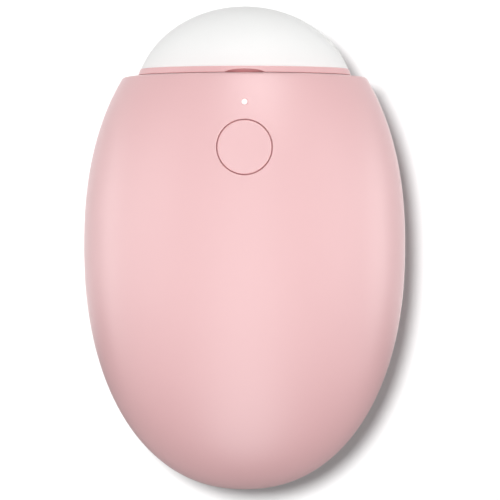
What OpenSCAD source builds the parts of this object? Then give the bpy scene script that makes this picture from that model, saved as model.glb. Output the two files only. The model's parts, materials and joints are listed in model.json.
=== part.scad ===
// Rechargeable hand warmer: an egg-shaped body with a frosted lamp cap that pulls off
// its charging sockets. It lies on its back: +Z is its front face, with the power button,
// and +Y points to the lamp. The origin is the middle of the flat that it rests on.

/* [Body] */
// Length from the bottom of the body to the tip of the lamp dome
overall_l = 99.2; // [96:0.2:104]
// Width of the body at its widest line
body_w = 66; // [65:0.5:72]
// Depth of the body, front to back, before its resting flat is cut
body_d = 38.8; // [38.4:0.2:42]
// How far the widest line lies above the middle of the length
widest_y = 0.6; // [0:0.2:2]
// Fullness of the body's outline, where 2 is an ellipse
egg_power = 2.2; // [2.15:0.05:2.4]
// Depth cut off the back for the resting flat
back_flat = 0.8; // [0.5:0.1:1]
// Thickness of the body's wall
wall = 2; // [1.8:0.1:2.2]
// Thickness of the shoulder under the lamp cap
shoulder_t = 2; // [1.6:0.1:2.4]
// Rounding of the shoulder's outer edge
shoulder_r = 1; // [0.6:0.1:1.4]
// Height of the lip that lines up the two shells
lip_h = 1.5; // [1:0.1:2]

/* [Lamp cap] */
// Length of the lamp cap above the shoulder
cap_l = 14.6; // [14:0.2:16]
// Width of the shoulder that shows beside the ring
ledge_w = 3.06; // [2.7:0.02:3.7]
// Width of the shoulder that shows before the ring
ledge_d = 4.87; // [4.2:0.01:5.2]
// Height of the ring
ring_h = 1.2; // [1:0.1:1.6]
// Gap between the ring and the shoulder
ring_gap = 0.5; // [0.4:0.1:0.7]
// How much narrower the ring is at its upper edge, on each side
ring_taper = 0.4; // [0.2:0.1:0.5]
// How far the ring stands out past the foot of the dome
ring_step = 0.2; // [0.1:0.05:0.3]
// Wall of the dome
dome_t = 1.4; // [1.2:0.1:1.8]
// Wall of the skirt that plugs into the shoulder
skirt_t = 1.2; // [1:0.1:1.4]
// Radius of the fingernail notch in the ring
notch_r = 11.2; // [9:0.2:13]
// Height of the fingernail notch
notch_h = 0.72; // [0.5:0.02:0.8]
// How deep the notch reaches into the ring
notch_d = 1.2; // [0.8:0.1:1.4]

/* [Button and indicator] */
// Diameter of the power button
button_dia = 10.8; // [9.6:0.1:11.5]
// Gap round the power button
button_gap = 0.2; // [0.15:0.05:0.4]
// Distance of the button's centre below the shoulder
button_drop = 15; // [14.4:0.1:15.6]
// Depth of the dish in the button's face
button_dish = 0.25; // [0.15:0.05:0.35]
// Travel of the power button
button_travel = 0.3; // [0.2:0.05:0.4]
// Diameter of the indicator light
light_dia = 1.1; // [0.9:0.1:1.6]
// Distance of the indicator below the shoulder
light_drop = 5.9; // [5.4:0.1:6.2]

/* [Battery] */
// Distance of the battery cells' lower ends above the bottom of the body
cell_rise = 19.5; // [19:0.5:23]
// Clearance of the battery cells' corners to the body's wall
cell_side_gap = 1.3; // [1.1:0.1:3]
// Thickness of each battery cell
cell_t = 7; // [6:0.1:7.2]
// Thickness of the foam between the two cells
cell_pad_t = 0.6; // [0.4:0.1:0.8]

/* [Electronics] */
// Clearance of the main board's upper corners to the body's wall
board_side_gap = 0.87; // [0.7:0.01:1.8]
// Length of the main board
board_l = 16.9; // [16.2:0.1:17.4]
// Thickness of the main board
board_t = 1.6; // [1.2:0.1:1.8]
// Width of the USB-A socket
usb_a_w = 13.1; // [12.9:0.1:13.3]
// Height of the USB-A socket
usb_a_h = 5.7; // [5.6:0.1:5.9]
// Length of the USB-A socket
usb_a_l = 13.8; // [13:0.1:14]
// Width of the micro-USB socket
micro_w = 7.6; // [7.4:0.1:7.8]
// Height of the micro-USB socket
micro_h = 2.6; // [2.4:0.1:2.8]
// Length of the micro-USB socket
micro_l = 5.6; // [5.2:0.1:6]
// Diameter of the lamp's window
window_dia = 5.6; // [5:0.1:5.8]

/* [Hidden] */

// Facets of the large egg surfaces, of fitted ovals and of small round parts
egg_fn = 96;
oval_fn = 80;
round_fn = 40;
wire_fn = 16;
egg_steps = 26;
corner_steps = 5;

// Colours
pink = [0.93, 0.72, 0.73];
frosted = [0.97, 0.97, 0.95];
board_green = [0.1, 0.42, 0.22];
steel = [0.75, 0.76, 0.78];
plastic_black = [0.12, 0.12, 0.13];
plastic_white = [0.92, 0.92, 0.9];
foil = [0.72, 0.74, 0.77];
aluminium = [0.8, 0.81, 0.82];
amber = [0.78, 0.47, 0.13];
foam = [0.3, 0.31, 0.33];

// One overrun for every cut, and the clearances that fits share
over = 1;
slide_gap = 0.3;
snug_gap = 0.15;
lip_gap = 0.1;

// Heights and lines that everything is placed from
z_mid = body_d / 2 - back_flat;
shoulder_y = overall_l / 2 - cap_l;
deck_top_y = shoulder_y - shoulder_t;
deck_t = 1.2;
deck_gap = 0.4;
board_top_y = deck_top_y - deck_t - deck_gap;
board_bottom_y = board_top_y - board_l;
board_z = z_mid + usb_a_h / 2;
board_face_z = board_z + board_t;
button_y = shoulder_y - button_drop;
light_y = shoulder_y - light_drop;

// Egg outline: half the width at a height y, inset from the outside by a wall
lower_l = overall_l / 2 + widest_y;
upper_l = overall_l / 2 - widest_y;
function egg_share(y, inset) =
    min(1, abs(y - widest_y) / ((y < widest_y ? lower_l : upper_l) - inset));
function egg_half_w(y, inset) =
    (body_w / 2 - inset) * pow(1 - pow(egg_share(y, inset), egg_power), 1 / egg_power);
function egg_flatness(inset) = (body_d / 2 - inset) / (body_w / 2 - inset);
function egg_half_d(x, y, inset) =
    egg_flatness(inset) * sqrt(max(0, pow(egg_half_w(y, inset), 2) - x * x));
function egg_half_w_at(y, dz, inset) =
    sqrt(max(0, pow(egg_half_w(y, inset), 2) - pow(dz / egg_flatness(inset), 2)));

// Points of the outline from the bottom tip, at -90 degrees, up past the widest line, at 0
function egg_top_angle(y, inset) = asin(pow(egg_share(y, inset), egg_power / 2));
function egg_point(angle, inset) =
    let (l = (angle < 0 ? lower_l : upper_l) - inset)
    [(body_w / 2 - inset) * pow(cos(angle), 2 / egg_power),
     widest_y + sign(angle) * l * pow(abs(sin(angle)), 2 / egg_power)];
function egg_side(top_y, inset) =
    let (sweep = egg_top_angle(top_y, inset) + 90)
    [for (i = [0 : egg_steps]) egg_point(sweep * i / egg_steps - 90, inset)];
function edge_lean(top_y, inset, r) =
    atan((egg_half_w(top_y - r, inset) - egg_half_w(top_y, inset)) / r);
function rounded_edge(top_y, inset, r) =
    let (lean = edge_lean(top_y, inset, r),
         start_y = top_y - r * (1 - sin(lean)),
         centre = [egg_half_w(start_y, inset) - r * cos(lean), top_y - r])
    [for (i = [1 : corner_steps])
        let (a = lean + (90 - lean) * i / corner_steps)
        centre + r * [cos(a), sin(a)]];

module egg(inset, top_y, r = 0) {
    lean = r > 0 ? edge_lean(top_y, inset, r) : 0;
    side_y = top_y - r * (1 - sin(lean));
    corner = r > 0 ? rounded_edge(top_y, inset, r) : [];
    translate([0, 0, z_mid])
        scale([1, 1, egg_flatness(inset)])
        rotate([-90, 0, 0])
        rotate_extrude($fn = egg_fn)
        polygon(concat(egg_side(side_y, inset), corner, [[0, top_y]]));
}

// A straight oval bar along Y, for the cap and what it plugs into
module oval(half_w, half_d, y0, y1) {
    translate([0, y0, z_mid])
        scale([1, 1, half_d / half_w])
        rotate([-90, 0, 0])
        cylinder(r = half_w, h = y1 - y0, $fn = oval_fn);
}

// Everything between two heights
module slab(z0, z1) {
    translate([-body_w, -overall_l, z0]) cube([2 * body_w, 2 * overall_l, z1 - z0]);
}

// A block given by its middle in X, and its ends in Y and Z
module block(x, w, y0, y1, z0, z1) {
    translate([x - w / 2, y0, z0]) cube([w, y1 - y0, z1 - z0]);
}

// A post, bore or rod standing along Z
module rod(x, y, dia, z0, z1) {
    translate([x, y, z0]) cylinder(d = dia, h = z1 - z0, $fn = round_fn);
}

// A flat plate with round corners, lying between two heights
module round_plate(w, y0, y1, r, z0, z1) {
    l = y1 - y0;
    translate([0, (y0 + y1) / 2, z0]) linear_extrude(z1 - z0) {
        square([w - 2 * r, l], center = true);
        square([w, l - 2 * r], center = true);
        for (sx = [-1, 1], sy = [-1, 1])
            translate([sx * (w / 2 - r), sy * (l / 2 - r)]) circle(r = r, $fn = round_fn);
    }
}

// A wire through its points, slightly swollen at every bend
bend_swell = 1.06;
module wire(points, dia) {
    for (i = [0 : len(points) - 2]) {
        run = points[i + 1] - points[i];
        length = norm(run);
        translate(points[i])
            rotate([0, acos(run[2] / length), atan2(run[1], run[0])])
            cylinder(d = dia, h = length, $fn = wire_fn);
        if (i > 0)
            translate(points[i]) sphere(d = dia * bend_swell, $fn = wire_fn);
    }
}

/* Shells */

lip_inset = wall / 2 + lip_gap;
rebate_inset = wall / 2;

// Cap plug: the skirt and the opening in the shoulder that it fits
ring_w = 2 * (egg_half_w(shoulder_y, 0) - ledge_w);
ring_d = 2 * (egg_half_d(0, shoulder_y, 0) - ledge_d);
skirt_in_w = 1.6;
skirt_in_d = 1.9;
skirt_half_w = ring_w / 2 - skirt_in_w;
skirt_half_d = ring_d / 2 - skirt_in_d;
opening_half_w = skirt_half_w + slide_gap;
opening_half_d = skirt_half_d + slide_gap;

// Sleeves behind the button and round the indicator
sleeve_t = 1.1;
sleeve_l = 0.5;
sleeve_end_z = z_mid + egg_half_d(button_dia / 2 + sleeve_t,
    button_y + button_dia / 2 + sleeve_t, wall) - sleeve_l;
bore_dia = button_dia + 2 * button_gap;
pipe_sleeve_dia = 4;
pipe_sleeve_end_z = z_mid + egg_half_d(pipe_sleeve_dia / 2,
    light_y + pipe_sleeve_dia / 2, wall) - sleeve_l;
pipe_bore_dia = light_dia + lip_gap;

// Ribs that trap the top deck against the shoulder
rib_x = 10;
rib_w = 5;
rib_t = 1.2;
rib_l = 2.6;
rib_top_y = deck_top_y - deck_t - lip_gap;
rib_end = egg_half_d(rib_x + rib_w / 2, rib_top_y, wall) - rib_l;

// Snap tabs on the front shell and their pockets in the back shell
tab_t = 1;
tab_l = 3;
tab_drop = 4.6;
tab_rise = 3;
tab_y_shares = [-0.4502, 0.2122];
tab_y_list = [widest_y + tab_y_shares[0] * lower_l, widest_y + tab_y_shares[1] * upper_l];
barb_out = 0.85;
barb_h = 1.2;
tab_face = 1.3;
pocket_gap = 0.25;
function snap_x(y) = min(egg_half_w(y - tab_l / 2, wall), egg_half_w(y + tab_l / 2, wall))
    - tab_face;

module deck_ribs(side) {
    for (sx = [-1, 1])
        translate([sx * rib_x - rib_w / 2, rib_top_y - rib_t,
                   side > 0 ? z_mid + rib_end : z_mid - body_d])
            cube([rib_w, rib_t, body_d - (side > 0 ? 0 : rib_end)]);
}

module snap_tab(y) {
    translate([snap_x(y), y - tab_l / 2, z_mid]) {
        translate([-tab_t, 0, -tab_drop])
            cube([tab_t, tab_l, tab_drop + tab_rise]);
        translate([-tab_t, 0, 2 * lip_gap])
            cube([tab_t + tab_face + 2 * wall, tab_l, tab_rise - 2 * lip_gap]);
        translate([0, tab_l, -tab_drop])
            rotate([90, 0, 0])
            linear_extrude(tab_l)
            polygon([[-tab_t / 2, 0], [0, 0], [barb_out, barb_h], [-tab_t / 2, barb_h]]);
    }
}

module snap_pocket(y) {
    translate([snap_x(y) - tab_t, y - tab_l / 2 - pocket_gap, z_mid - tab_drop - pocket_gap])
        cube([tab_t + barb_out + pocket_gap, tab_l + 2 * pocket_gap, barb_h + 2 * pocket_gap]);
}

module front_shell() color(pink) difference() {
    union() {
        difference() {
            intersection() {
                egg(0, shoulder_y, shoulder_r);
                slab(z_mid, z_mid + body_d);
            }
            egg(wall, deck_top_y);
        }
        intersection() {
            difference() {
                egg(lip_inset, deck_top_y - lip_gap);
                egg(wall - lip_gap, deck_top_y);
            }
            slab(z_mid - lip_h + lip_gap, z_mid + lip_h);
        }
        intersection() {
            egg(wall / 2, deck_top_y + shoulder_t / 2);
            union() {
                rod(0, button_y, bore_dia + 2 * sleeve_t, sleeve_end_z, z_mid + body_d);
                rod(0, light_y, pipe_sleeve_dia, pipe_sleeve_end_z, z_mid + body_d);
                deck_ribs(1);
                for (y = tab_y_list, m = [0, 1])
                    mirror([m, 0, 0]) snap_tab(y);
            }
        }
    }
    oval(opening_half_w, opening_half_d, deck_top_y - over, shoulder_y + over);
    rod(0, button_y, bore_dia, z_mid + over, z_mid + body_d);
    rod(0, light_y, pipe_bore_dia, z_mid + over, z_mid + body_d);
}

// Posts and pilots for the screws
screw_dia = 1.6;
screw_head_dia = 3;
screw_head_h = 1.2;
screw_l = 4;
pilot_dia = screw_dia + lip_gap;
hole_dia = screw_dia + slide_gap;
post_dia = 4.4;

// Battery stack: two flat cells, one above the other, about the middle of the body
tray_t = 1;
cell_end_l = 3;
cell_end_t = 0.6;
cell_r = 3;
cell_to_board = 0.6;
cell_top_y = board_bottom_y - cell_to_board - cell_end_l;
cell_bottom_y = cell_rise - overall_l / 2;
stack_half_d = cell_pad_t / 2 + cell_t + tray_t;
cell_w = 2 * (egg_half_w_at(cell_bottom_y, stack_half_d, wall) - cell_side_gap);
front_cell_z = z_mid + cell_pad_t / 2;
rear_cell_z = z_mid - cell_pad_t / 2 - cell_t;

// Battery tray and its ears
tray_w = cell_w + 2 * (slide_gap + tray_t);
tray_y0 = cell_bottom_y - slide_gap - tray_t;
tray_y1 = cell_top_y + cell_end_l + slide_gap + tray_t;
tray_r = cell_r + slide_gap + tray_t;
tray_wall_h = 4;
ear_t = 1.2;
ear_z = rear_cell_z + tray_wall_h - ear_t;
ear_reach = 3.9;
ear_x = tray_w / 2 + ear_reach;
ear_y_shares = [0.3712, 0.8004];
ear_y_list = [for (share = ear_y_shares) tray_y0 + share * (tray_y1 - tray_y0)];

// Board posts stand under the board's four corners
board_w = 2 * (egg_half_w_at(board_top_y, board_face_z - z_mid, wall) - board_side_gap);
board_hole_in = 2.2;
board_hole_rise = 3;
board_hole_drop = 3.4;
board_hole_x = board_w / 2 - board_hole_in;
board_hole_y_list = [board_bottom_y + board_hole_rise, board_top_y - board_hole_drop];

module at_board_holes() {
    for (sx = [-1, 1], y = board_hole_y_list) translate([sx * board_hole_x, y, 0]) children();
}

module at_ears() {
    for (sx = [-1, 1], y = ear_y_list) translate([sx * ear_x, y, 0]) children();
}

module back_shell() color(pink) difference() {
    union() {
        difference() {
            intersection() {
                egg(0, shoulder_y, shoulder_r);
                slab(0, z_mid);
            }
            egg(wall, deck_top_y);
            intersection() {
                egg(rebate_inset, deck_top_y);
                slab(z_mid - lip_h, z_mid + over);
            }
        }
        intersection() {
            egg(wall / 2, deck_top_y + shoulder_t / 2);
            slab(wall / 4, z_mid + body_d);
            union() {
                at_board_holes() rod(0, 0, post_dia, 0, board_z);
                at_ears() rod(0, 0, post_dia, 0, ear_z);
                deck_ribs(-1);
            }
        }
    }
    oval(opening_half_w, opening_half_d, deck_top_y - over, shoulder_y + over);
    at_board_holes() rod(0, 0, pilot_dia, board_z - screw_l, board_z + over);
    at_ears() rod(0, 0, pilot_dia, ear_z - screw_l, ear_z + over);
    for (y = tab_y_list, m = [0, 1])
        mirror([m, 0, 0]) snap_pocket(y);
}

/* Lamp cap */

ring_base_y = shoulder_y + ring_gap;
ring_top_y = ring_base_y + ring_h;
ring_flatness = ring_d / ring_w;
skirt_end_y = deck_top_y + slide_gap;
ledge_h = 0.5;
ledge_y = ring_base_y + ledge_h;
seat_gap = 0.1;
foot_half_w = ring_w / 2 - ring_taper - ring_step;
dome_sink = 6.3;
dome_mid_y = ring_top_y - dome_sink;
dome_rise = overall_l / 2 - dome_mid_y;
dome_half_w = foot_half_w / sqrt(1 - pow(dome_sink / dome_rise, 2));
dome_half_d = dome_half_w * ring_flatness;

module notch_cut() {
    translate([0, ring_base_y + notch_h - notch_r, z_mid + ring_d / 2 - notch_d])
        cylinder(r = notch_r, h = notch_d + over, $fn = egg_fn);
}

module cap_ring() color(pink) difference() {
    union() {
        translate([0, ring_base_y, z_mid])
            scale([1, 1, ring_flatness])
            rotate([-90, 0, 0])
            rotate_extrude($fn = egg_fn)
            polygon([[0, 0], [ring_w / 2, 0], [ring_w / 2 - ring_taper, ring_h], [0, ring_h]]);
        oval(skirt_half_w, skirt_half_d, skirt_end_y, ring_base_y + ledge_h / 2);
    }
    oval(skirt_half_w - skirt_t, skirt_half_d - skirt_t, skirt_end_y - over, ring_top_y + over);
    oval(skirt_half_w + seat_gap, skirt_half_d + seat_gap, ledge_y, ring_top_y + over);
    notch_cut();
}

module dome_ball(inset) {
    translate([0, dome_mid_y, z_mid])
        scale([dome_half_w - inset, dome_rise - inset, dome_half_d - inset])
        sphere(1, $fn = egg_fn);
}

module above_line(y) {
    translate([-body_w, y, 0]) cube([2 * body_w, overall_l, 2 * body_d]);
}

module lamp_dome() color(frosted) difference() {
    union() {
        intersection() {
            dome_ball(0);
            above_line(ring_top_y);
        }
        oval(skirt_half_w, skirt_half_d, ledge_y, ring_top_y + dome_t / 2);
    }
    intersection() {
        dome_ball(dome_t);
        above_line(ring_top_y + dome_t);
    }
    oval(skirt_half_w - skirt_t, skirt_half_d - skirt_t,
        ledge_y - over, ring_top_y + dome_t + seat_gap);
}

/* Button and indicator */

press_gap = 0.05;
switch_w = 6;
switch_h = 3.5;
plunger_dia = 3.4;
plunger_foot = 1.4;
flange_t = 1;
stem_out = 1.6;
flange_dia = bore_dia + 2 * sleeve_t - slide_gap;
flange_top_z = sleeve_end_z - lip_gap;
plunger_top_z = flange_top_z - flange_t - stem_out;
keycap_t = 1.4;
keycap_top_t = 1.6;
keycap_edge_z = z_mid + egg_half_d(button_dia / 2, button_y + button_dia / 2, 0);
keycap_hollow_z = keycap_edge_z - keycap_top_t;
stem_dia = 3.6;
dish_rim = 0.3;
dish_chord = button_dia / 2 - dish_rim;
dish_r = (pow(dish_chord, 2) + pow(button_dish, 2)) / (2 * button_dish);
keycap_face_z = z_mid + egg_half_d(0, button_y, 0);
dish_lean = atan((egg_half_d(0, button_y - dish_chord, 0)
    - egg_half_d(0, button_y + dish_chord, 0)) / (2 * dish_chord));

module power_button() color(pink) difference() {
    union() {
        intersection() {
            rod(0, button_y, button_dia, flange_top_z - flange_t, z_mid + body_d);
            egg(0, shoulder_y);
        }
        rod(0, button_y, flange_dia, flange_top_z - flange_t, flange_top_z);
        rod(0, button_y, stem_dia, plunger_top_z + press_gap, keycap_hollow_z + seat_gap);
    }
    difference() {
        rod(0, button_y, button_dia - 2 * keycap_t, flange_top_z - flange_t - over,
            keycap_hollow_z);
        rod(0, button_y, stem_dia, flange_top_z - flange_t - 2 * over, keycap_hollow_z + over);
    }
    translate([0, button_y, keycap_face_z])
        rotate([-dish_lean, 0, 0])
        translate([0, 0, dish_r - button_dish])
        sphere(r = dish_r, $fn = egg_fn);
}

module switch_body() color(plastic_black) difference() {
    block(0, switch_w, button_y - switch_w / 2, button_y + switch_w / 2,
        board_face_z, board_face_z + switch_h);
    rod(0, button_y, plunger_dia + 2 * lip_gap, board_face_z + plunger_foot - button_travel - lip_gap,
        board_face_z + switch_h + over);
}

module switch_plunger() color(plastic_white)
    rod(0, button_y, plunger_dia, board_face_z + plunger_foot, plunger_top_z);

indicator_l = 1.6;
indicator_w = 0.8;
indicator_h = 0.6;
pipe_collar_dia = 3.2;
pipe_collar_t = 1;

module indicator_led() color([0.95, 0.93, 0.8])
    block(0, indicator_l, light_y - indicator_w / 2, light_y + indicator_w / 2,
        board_face_z, board_face_z + indicator_h);

module light_pipe() color(frosted) {
    intersection() {
        rod(0, light_y, light_dia, board_face_z + indicator_h + slide_gap, z_mid + body_d);
        egg(0, shoulder_y);
    }
    rod(0, light_y, pipe_collar_dia, pipe_sleeve_end_z - lip_gap - pipe_collar_t,
        pipe_sleeve_end_z - lip_gap);
}

/* Top deck, lamp and sockets */

socket_web = 0.9;
usb_a_x = -(window_dia / 2 + socket_web + snug_gap + usb_a_w / 2);
micro_x = -usb_a_x;
mouth_inset = 0.2;
mouth_y = deck_top_y - mouth_inset;
deck_bottom_y = deck_top_y - deck_t;
deck_half_w = egg_half_w(deck_top_y, wall) - slide_gap;
deck_half_d = egg_half_d(0, deck_top_y, wall) - slide_gap;

module socket_hole(x, w, z0, z1) {
    block(x, w + 2 * snug_gap, deck_bottom_y - over, deck_top_y + over,
        z0 - snug_gap, z1 + snug_gap);
}

module top_deck() color(plastic_white) difference() {
    oval(deck_half_w, deck_half_d, deck_bottom_y, deck_top_y);
    socket_hole(usb_a_x, usb_a_w, board_z - usb_a_h, board_z);
    socket_hole(micro_x, micro_w, board_z - micro_h, board_z);
    translate([0, deck_bottom_y - over, z_mid])
        rotate([-90, 0, 0])
        cylinder(d = window_dia + 2 * seat_gap, h = deck_t + 2 * over, $fn = round_fn);
}

module lamp_window() color(frosted)
    translate([0, deck_bottom_y, z_mid])
        rotate([-90, 0, 0])
        cylinder(d = window_dia, h = deck_t, $fn = round_fn);

lamp_led_w = 3.5;
lamp_led_h = 2.8;
lamp_led_t = 0.8;
lamp_board_t = 1;
lamp_board_w = 6.8;
lamp_board_drop = 3.6;
lamp_tab_w = 3;
lamp_tab_proud = 0.4;
lamp_led_y = deck_bottom_y - mouth_inset - lamp_led_t;
lamp_board_y = lamp_led_y - lamp_board_t;

module lamp_board() color(board_green) {
    block(0, lamp_board_w, lamp_board_y, lamp_led_y, z_mid - lamp_board_drop, board_z - seat_gap);
    block(0, lamp_tab_w, lamp_board_y, lamp_led_y, z_mid, board_face_z + lamp_tab_proud);
}

module lamp_led() color([0.95, 0.9, 0.55])
    block(0, lamp_led_w, lamp_led_y, lamp_led_y + lamp_led_t,
        z_mid - lamp_led_h / 2, z_mid + lamp_led_h / 2);

board_r = 2;

module main_board() color(board_green) difference() {
    round_plate(board_w, board_bottom_y, board_top_y, board_r, board_z, board_face_z);
    at_board_holes() rod(0, 0, hole_dia, board_z - over, board_face_z + over);
    block(0, lamp_tab_w + 2 * seat_gap, lamp_board_y - seat_gap, lamp_led_y + seat_gap,
        board_z - over, board_face_z + over);
}

// Sheet-metal socket shell, open at the deck, hanging under the board
module socket_shell(x, w, h, l, t, back_t) {
    difference() {
        block(x, w, mouth_y - l, mouth_y, board_z - h, board_z);
        block(x, w - 2 * t, mouth_y - l + back_t, mouth_y + over,
            board_z - h + t, board_z - t);
    }
}

usb_a_t = 0.35;
usb_a_back_t = 0.5;
usb_a_base_l = 3;
usb_a_tongue_w = 11.1;
usb_a_tongue_t = 1.8;
usb_a_tongue_l = 11.5;
usb_a_tongue_z = board_z - usb_a_h / 2 + snug_gap;
contact_t = 0.2;
contact_l = 7;
contact_w = 1;
contact_in = 1;
contact_x_shares = [-0.31, -0.1, 0.1, 0.31];
tongue_y = mouth_y - usb_a_l + usb_a_back_t + seat_gap;

module usb_a_shell() color(steel)
    socket_shell(usb_a_x, usb_a_w, usb_a_h, usb_a_l, usb_a_t, usb_a_back_t);

module usb_a_tongue() color(plastic_black) {
    block(usb_a_x, usb_a_w - 2 * (usb_a_t + seat_gap), tongue_y, tongue_y + usb_a_base_l,
        board_z - usb_a_h + usb_a_t + seat_gap, board_z - usb_a_t - seat_gap);
    block(usb_a_x, usb_a_tongue_w, tongue_y, tongue_y + usb_a_tongue_l,
        usb_a_tongue_z, usb_a_tongue_z + usb_a_tongue_t);
}

module usb_a_contacts() color([0.85, 0.68, 0.3])
    for (share = contact_x_shares)
        block(usb_a_x + share * usb_a_tongue_w, contact_w,
            tongue_y + usb_a_base_l, tongue_y + usb_a_tongue_l - contact_in,
            usb_a_tongue_z - contact_t, usb_a_tongue_z);

micro_t = 0.25;
micro_base_l = 1.4;
micro_tongue_w = 4.6;
micro_tongue_t = 0.7;
micro_tongue_l = 4.2;
micro_tongue_y = mouth_y - micro_l + micro_t + seat_gap;
micro_mid_z = board_z - micro_h / 2;

module micro_usb_shell() color(steel)
    socket_shell(micro_x, micro_w, micro_h, micro_l, micro_t, micro_t);

module micro_usb_tongue() color(plastic_black) {
    block(micro_x, micro_w - 2 * (micro_t + seat_gap), micro_tongue_y,
        micro_tongue_y + micro_base_l,
        board_z - micro_h + micro_t + seat_gap, board_z - micro_t - seat_gap);
    block(micro_x, micro_tongue_w, micro_tongue_y, micro_tongue_y + micro_tongue_l,
        micro_mid_z - micro_tongue_t / 2, micro_mid_z + micro_tongue_t / 2);
}

/* Parts on the main board */

chip_w = 5;
chip_l = 4;
chip_h = 1.4;
chip_leg_w = 0.45;
chip_leg_out = 0.9;
chip_leg_t = 0.25;
chip_leg_count = 4;
chip_x_share = -0.27;
chip_y_share = 0.55;
chip_lift = 0.2;

module charge_chip() color(plastic_black)
    translate([chip_x_share * board_w, board_bottom_y + chip_y_share * board_l, board_face_z]) {
        translate([0, 0, chip_lift + (chip_h - chip_lift) / 2])
            cube([chip_w, chip_l, chip_h - chip_lift], center = true);
        for (i = [0 : chip_leg_count - 1])
            translate([(i - (chip_leg_count - 1) / 2) * chip_w / chip_leg_count,
                       0, (chip_lift + chip_leg_t) / 2])
                cube([chip_leg_w, chip_l + 2 * chip_leg_out, chip_lift + chip_leg_t],
                    center = true);
    }

coil_w = 6.2;
coil_dia = 5.4;
coil_base_t = 0.8;
coil_h = 3.2;
coil_x_share = 0.27;
coil_y_share = 0.55;

module boost_inductor() color([0.25, 0.25, 0.27])
    translate([coil_x_share * board_w, board_bottom_y + coil_y_share * board_l, board_face_z]) {
        translate([0, 0, coil_base_t / 2])
            cube([coil_w, coil_w, coil_base_t], center = true);
        cylinder(d = coil_dia, h = coil_h - coil_base_t, $fn = round_fn);
        translate([0, 0, coil_h - coil_base_t])
            cylinder(d = coil_w, h = coil_base_t, $fn = round_fn);
    }

capacitor_l = 3.5;
capacitor_w = 2.8;
capacitor_h = 1.8;
capacitor_place_shares = [[-0.14, 0.62], [0.14, 0.62], [0.38, 0.42]];

module capacitors() color([0.82, 0.62, 0.25])
    for (share = capacitor_place_shares)
        translate([share[0] * board_w, board_bottom_y + share[1] * board_l,
                   board_face_z + capacitor_h / 2])
            cube([capacitor_w, capacitor_l, capacitor_h], center = true);

/* Battery */

module cell(z) {
    round_plate(cell_w, cell_bottom_y, cell_top_y, cell_r, z, z + cell_t);
    block(0, cell_w - 2 * cell_r, cell_top_y - cell_r, cell_top_y + cell_end_l,
        z + (cell_t - cell_end_t) / 2, z + (cell_t + cell_end_t) / 2);
}

module battery_cell_front() color(foil) cell(front_cell_z);

module battery_cell_rear() color(foil) cell(rear_cell_z);

pad_in = 4;

module cell_pad() color(foam)
    round_plate(cell_w - 2 * pad_in, cell_bottom_y + pad_in, cell_top_y - pad_in, cell_r,
        z_mid - cell_pad_t / 2, z_mid + cell_pad_t / 2);

guard_w = 26;
guard_t = 1;
guard_l = cell_end_l - 2 * slide_gap;
guard_y = cell_top_y + slide_gap;
tab_w = 4;
tab_strip_t = 0.3;
tab_x = 8;

module protection_board() color(board_green)
    block(0, guard_w, guard_y, guard_y + guard_l, z_mid - guard_t / 2, z_mid + guard_t / 2);

module cell_tabs() color(steel)
    for (sx = [-1, 1]) {
        block(sx * tab_x, tab_w, guard_y + guard_l / 2, guard_y + guard_l / 2 + tab_strip_t,
            z_mid + guard_t / 2, front_cell_z + (cell_t - cell_end_t) / 2);
        block(sx * tab_x, tab_w, guard_y + guard_l / 2, guard_y + guard_l / 2 + tab_strip_t,
            rear_cell_z + (cell_t + cell_end_t) / 2, z_mid - guard_t / 2);
    }

module battery_tray() color(plastic_white) difference() {
    union() {
        round_plate(tray_w, tray_y0, tray_y1, tray_r, rear_cell_z - tray_t,
            rear_cell_z + tray_wall_h);
        for (y = ear_y_list)
            block(0, 2 * ear_x, y - post_dia / 2, y + post_dia / 2, ear_z, ear_z + ear_t);
        at_ears() rod(0, 0, post_dia, ear_z, ear_z + ear_t);
    }
    round_plate(tray_w - 2 * tray_t, tray_y0 + tray_t, tray_y1 - tray_t, tray_r - tray_t,
        rear_cell_z, rear_cell_z + tray_wall_h + over);
    at_ears() rod(0, 0, hole_dia, ear_z - over, ear_z + ear_t + over);
}

/* Heating */

bond_gap = 0.15;
plate_t = 0.8;
film_t = 0.3;
plate_inset = wall + bond_gap;
film_inset = plate_inset + plate_t + bond_gap;
film_inner_inset = film_inset + film_t;
plate_side = 1;
plate_rise = 2;
plate_to_button = 4.5;
plate_w = cell_w + 2 * plate_side;
plate_y0 = cell_bottom_y + plate_rise;
plate_y1 = button_y - flange_dia / 2 - plate_to_button;
plate_r = 9;
film_in = 3;
foam_in = 7;
foam_top_in = 8;

// A sheet that follows the body's wall, cut to a round-cornered outline
module curved_sheet(side, inset, t, w, y0, y1, r) {
    intersection() {
        difference() {
            egg(inset, deck_top_y);
            egg(inset + t, deck_top_y);
        }
        round_plate(w, y0, y1, r, side > 0 ? z_mid + wall : 0,
            side > 0 ? z_mid + body_d : z_mid - wall);
    }
}

module heat_plate(side) curved_sheet(side, plate_inset, plate_t, plate_w, plate_y0, plate_y1,
    plate_r);

module heater_film(side) curved_sheet(side, film_inset, film_t, plate_w - 2 * film_in,
    plate_y0 + film_in, plate_y1 - film_in, plate_r - film_in);

module heat_plate_front() color(aluminium) heat_plate(1);

module heat_plate_rear() color(aluminium) heat_plate(-1);

module heater_film_front() color(amber) heater_film(1);

module heater_film_rear() color(amber) heater_film(-1);

module foam_pad(z0, z1) {
    intersection() {
        egg(film_inner_inset + bond_gap, deck_top_y);
        round_plate(plate_w - 2 * foam_in, plate_y0 + foam_in, plate_y1 - foam_top_in, cell_r,
            z0, z1);
    }
}

module foam_pad_front() color(foam) foam_pad(front_cell_z + cell_t, z_mid + body_d);

module foam_pad_rear() color(foam) foam_pad(0, rear_cell_z - tray_t);

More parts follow.
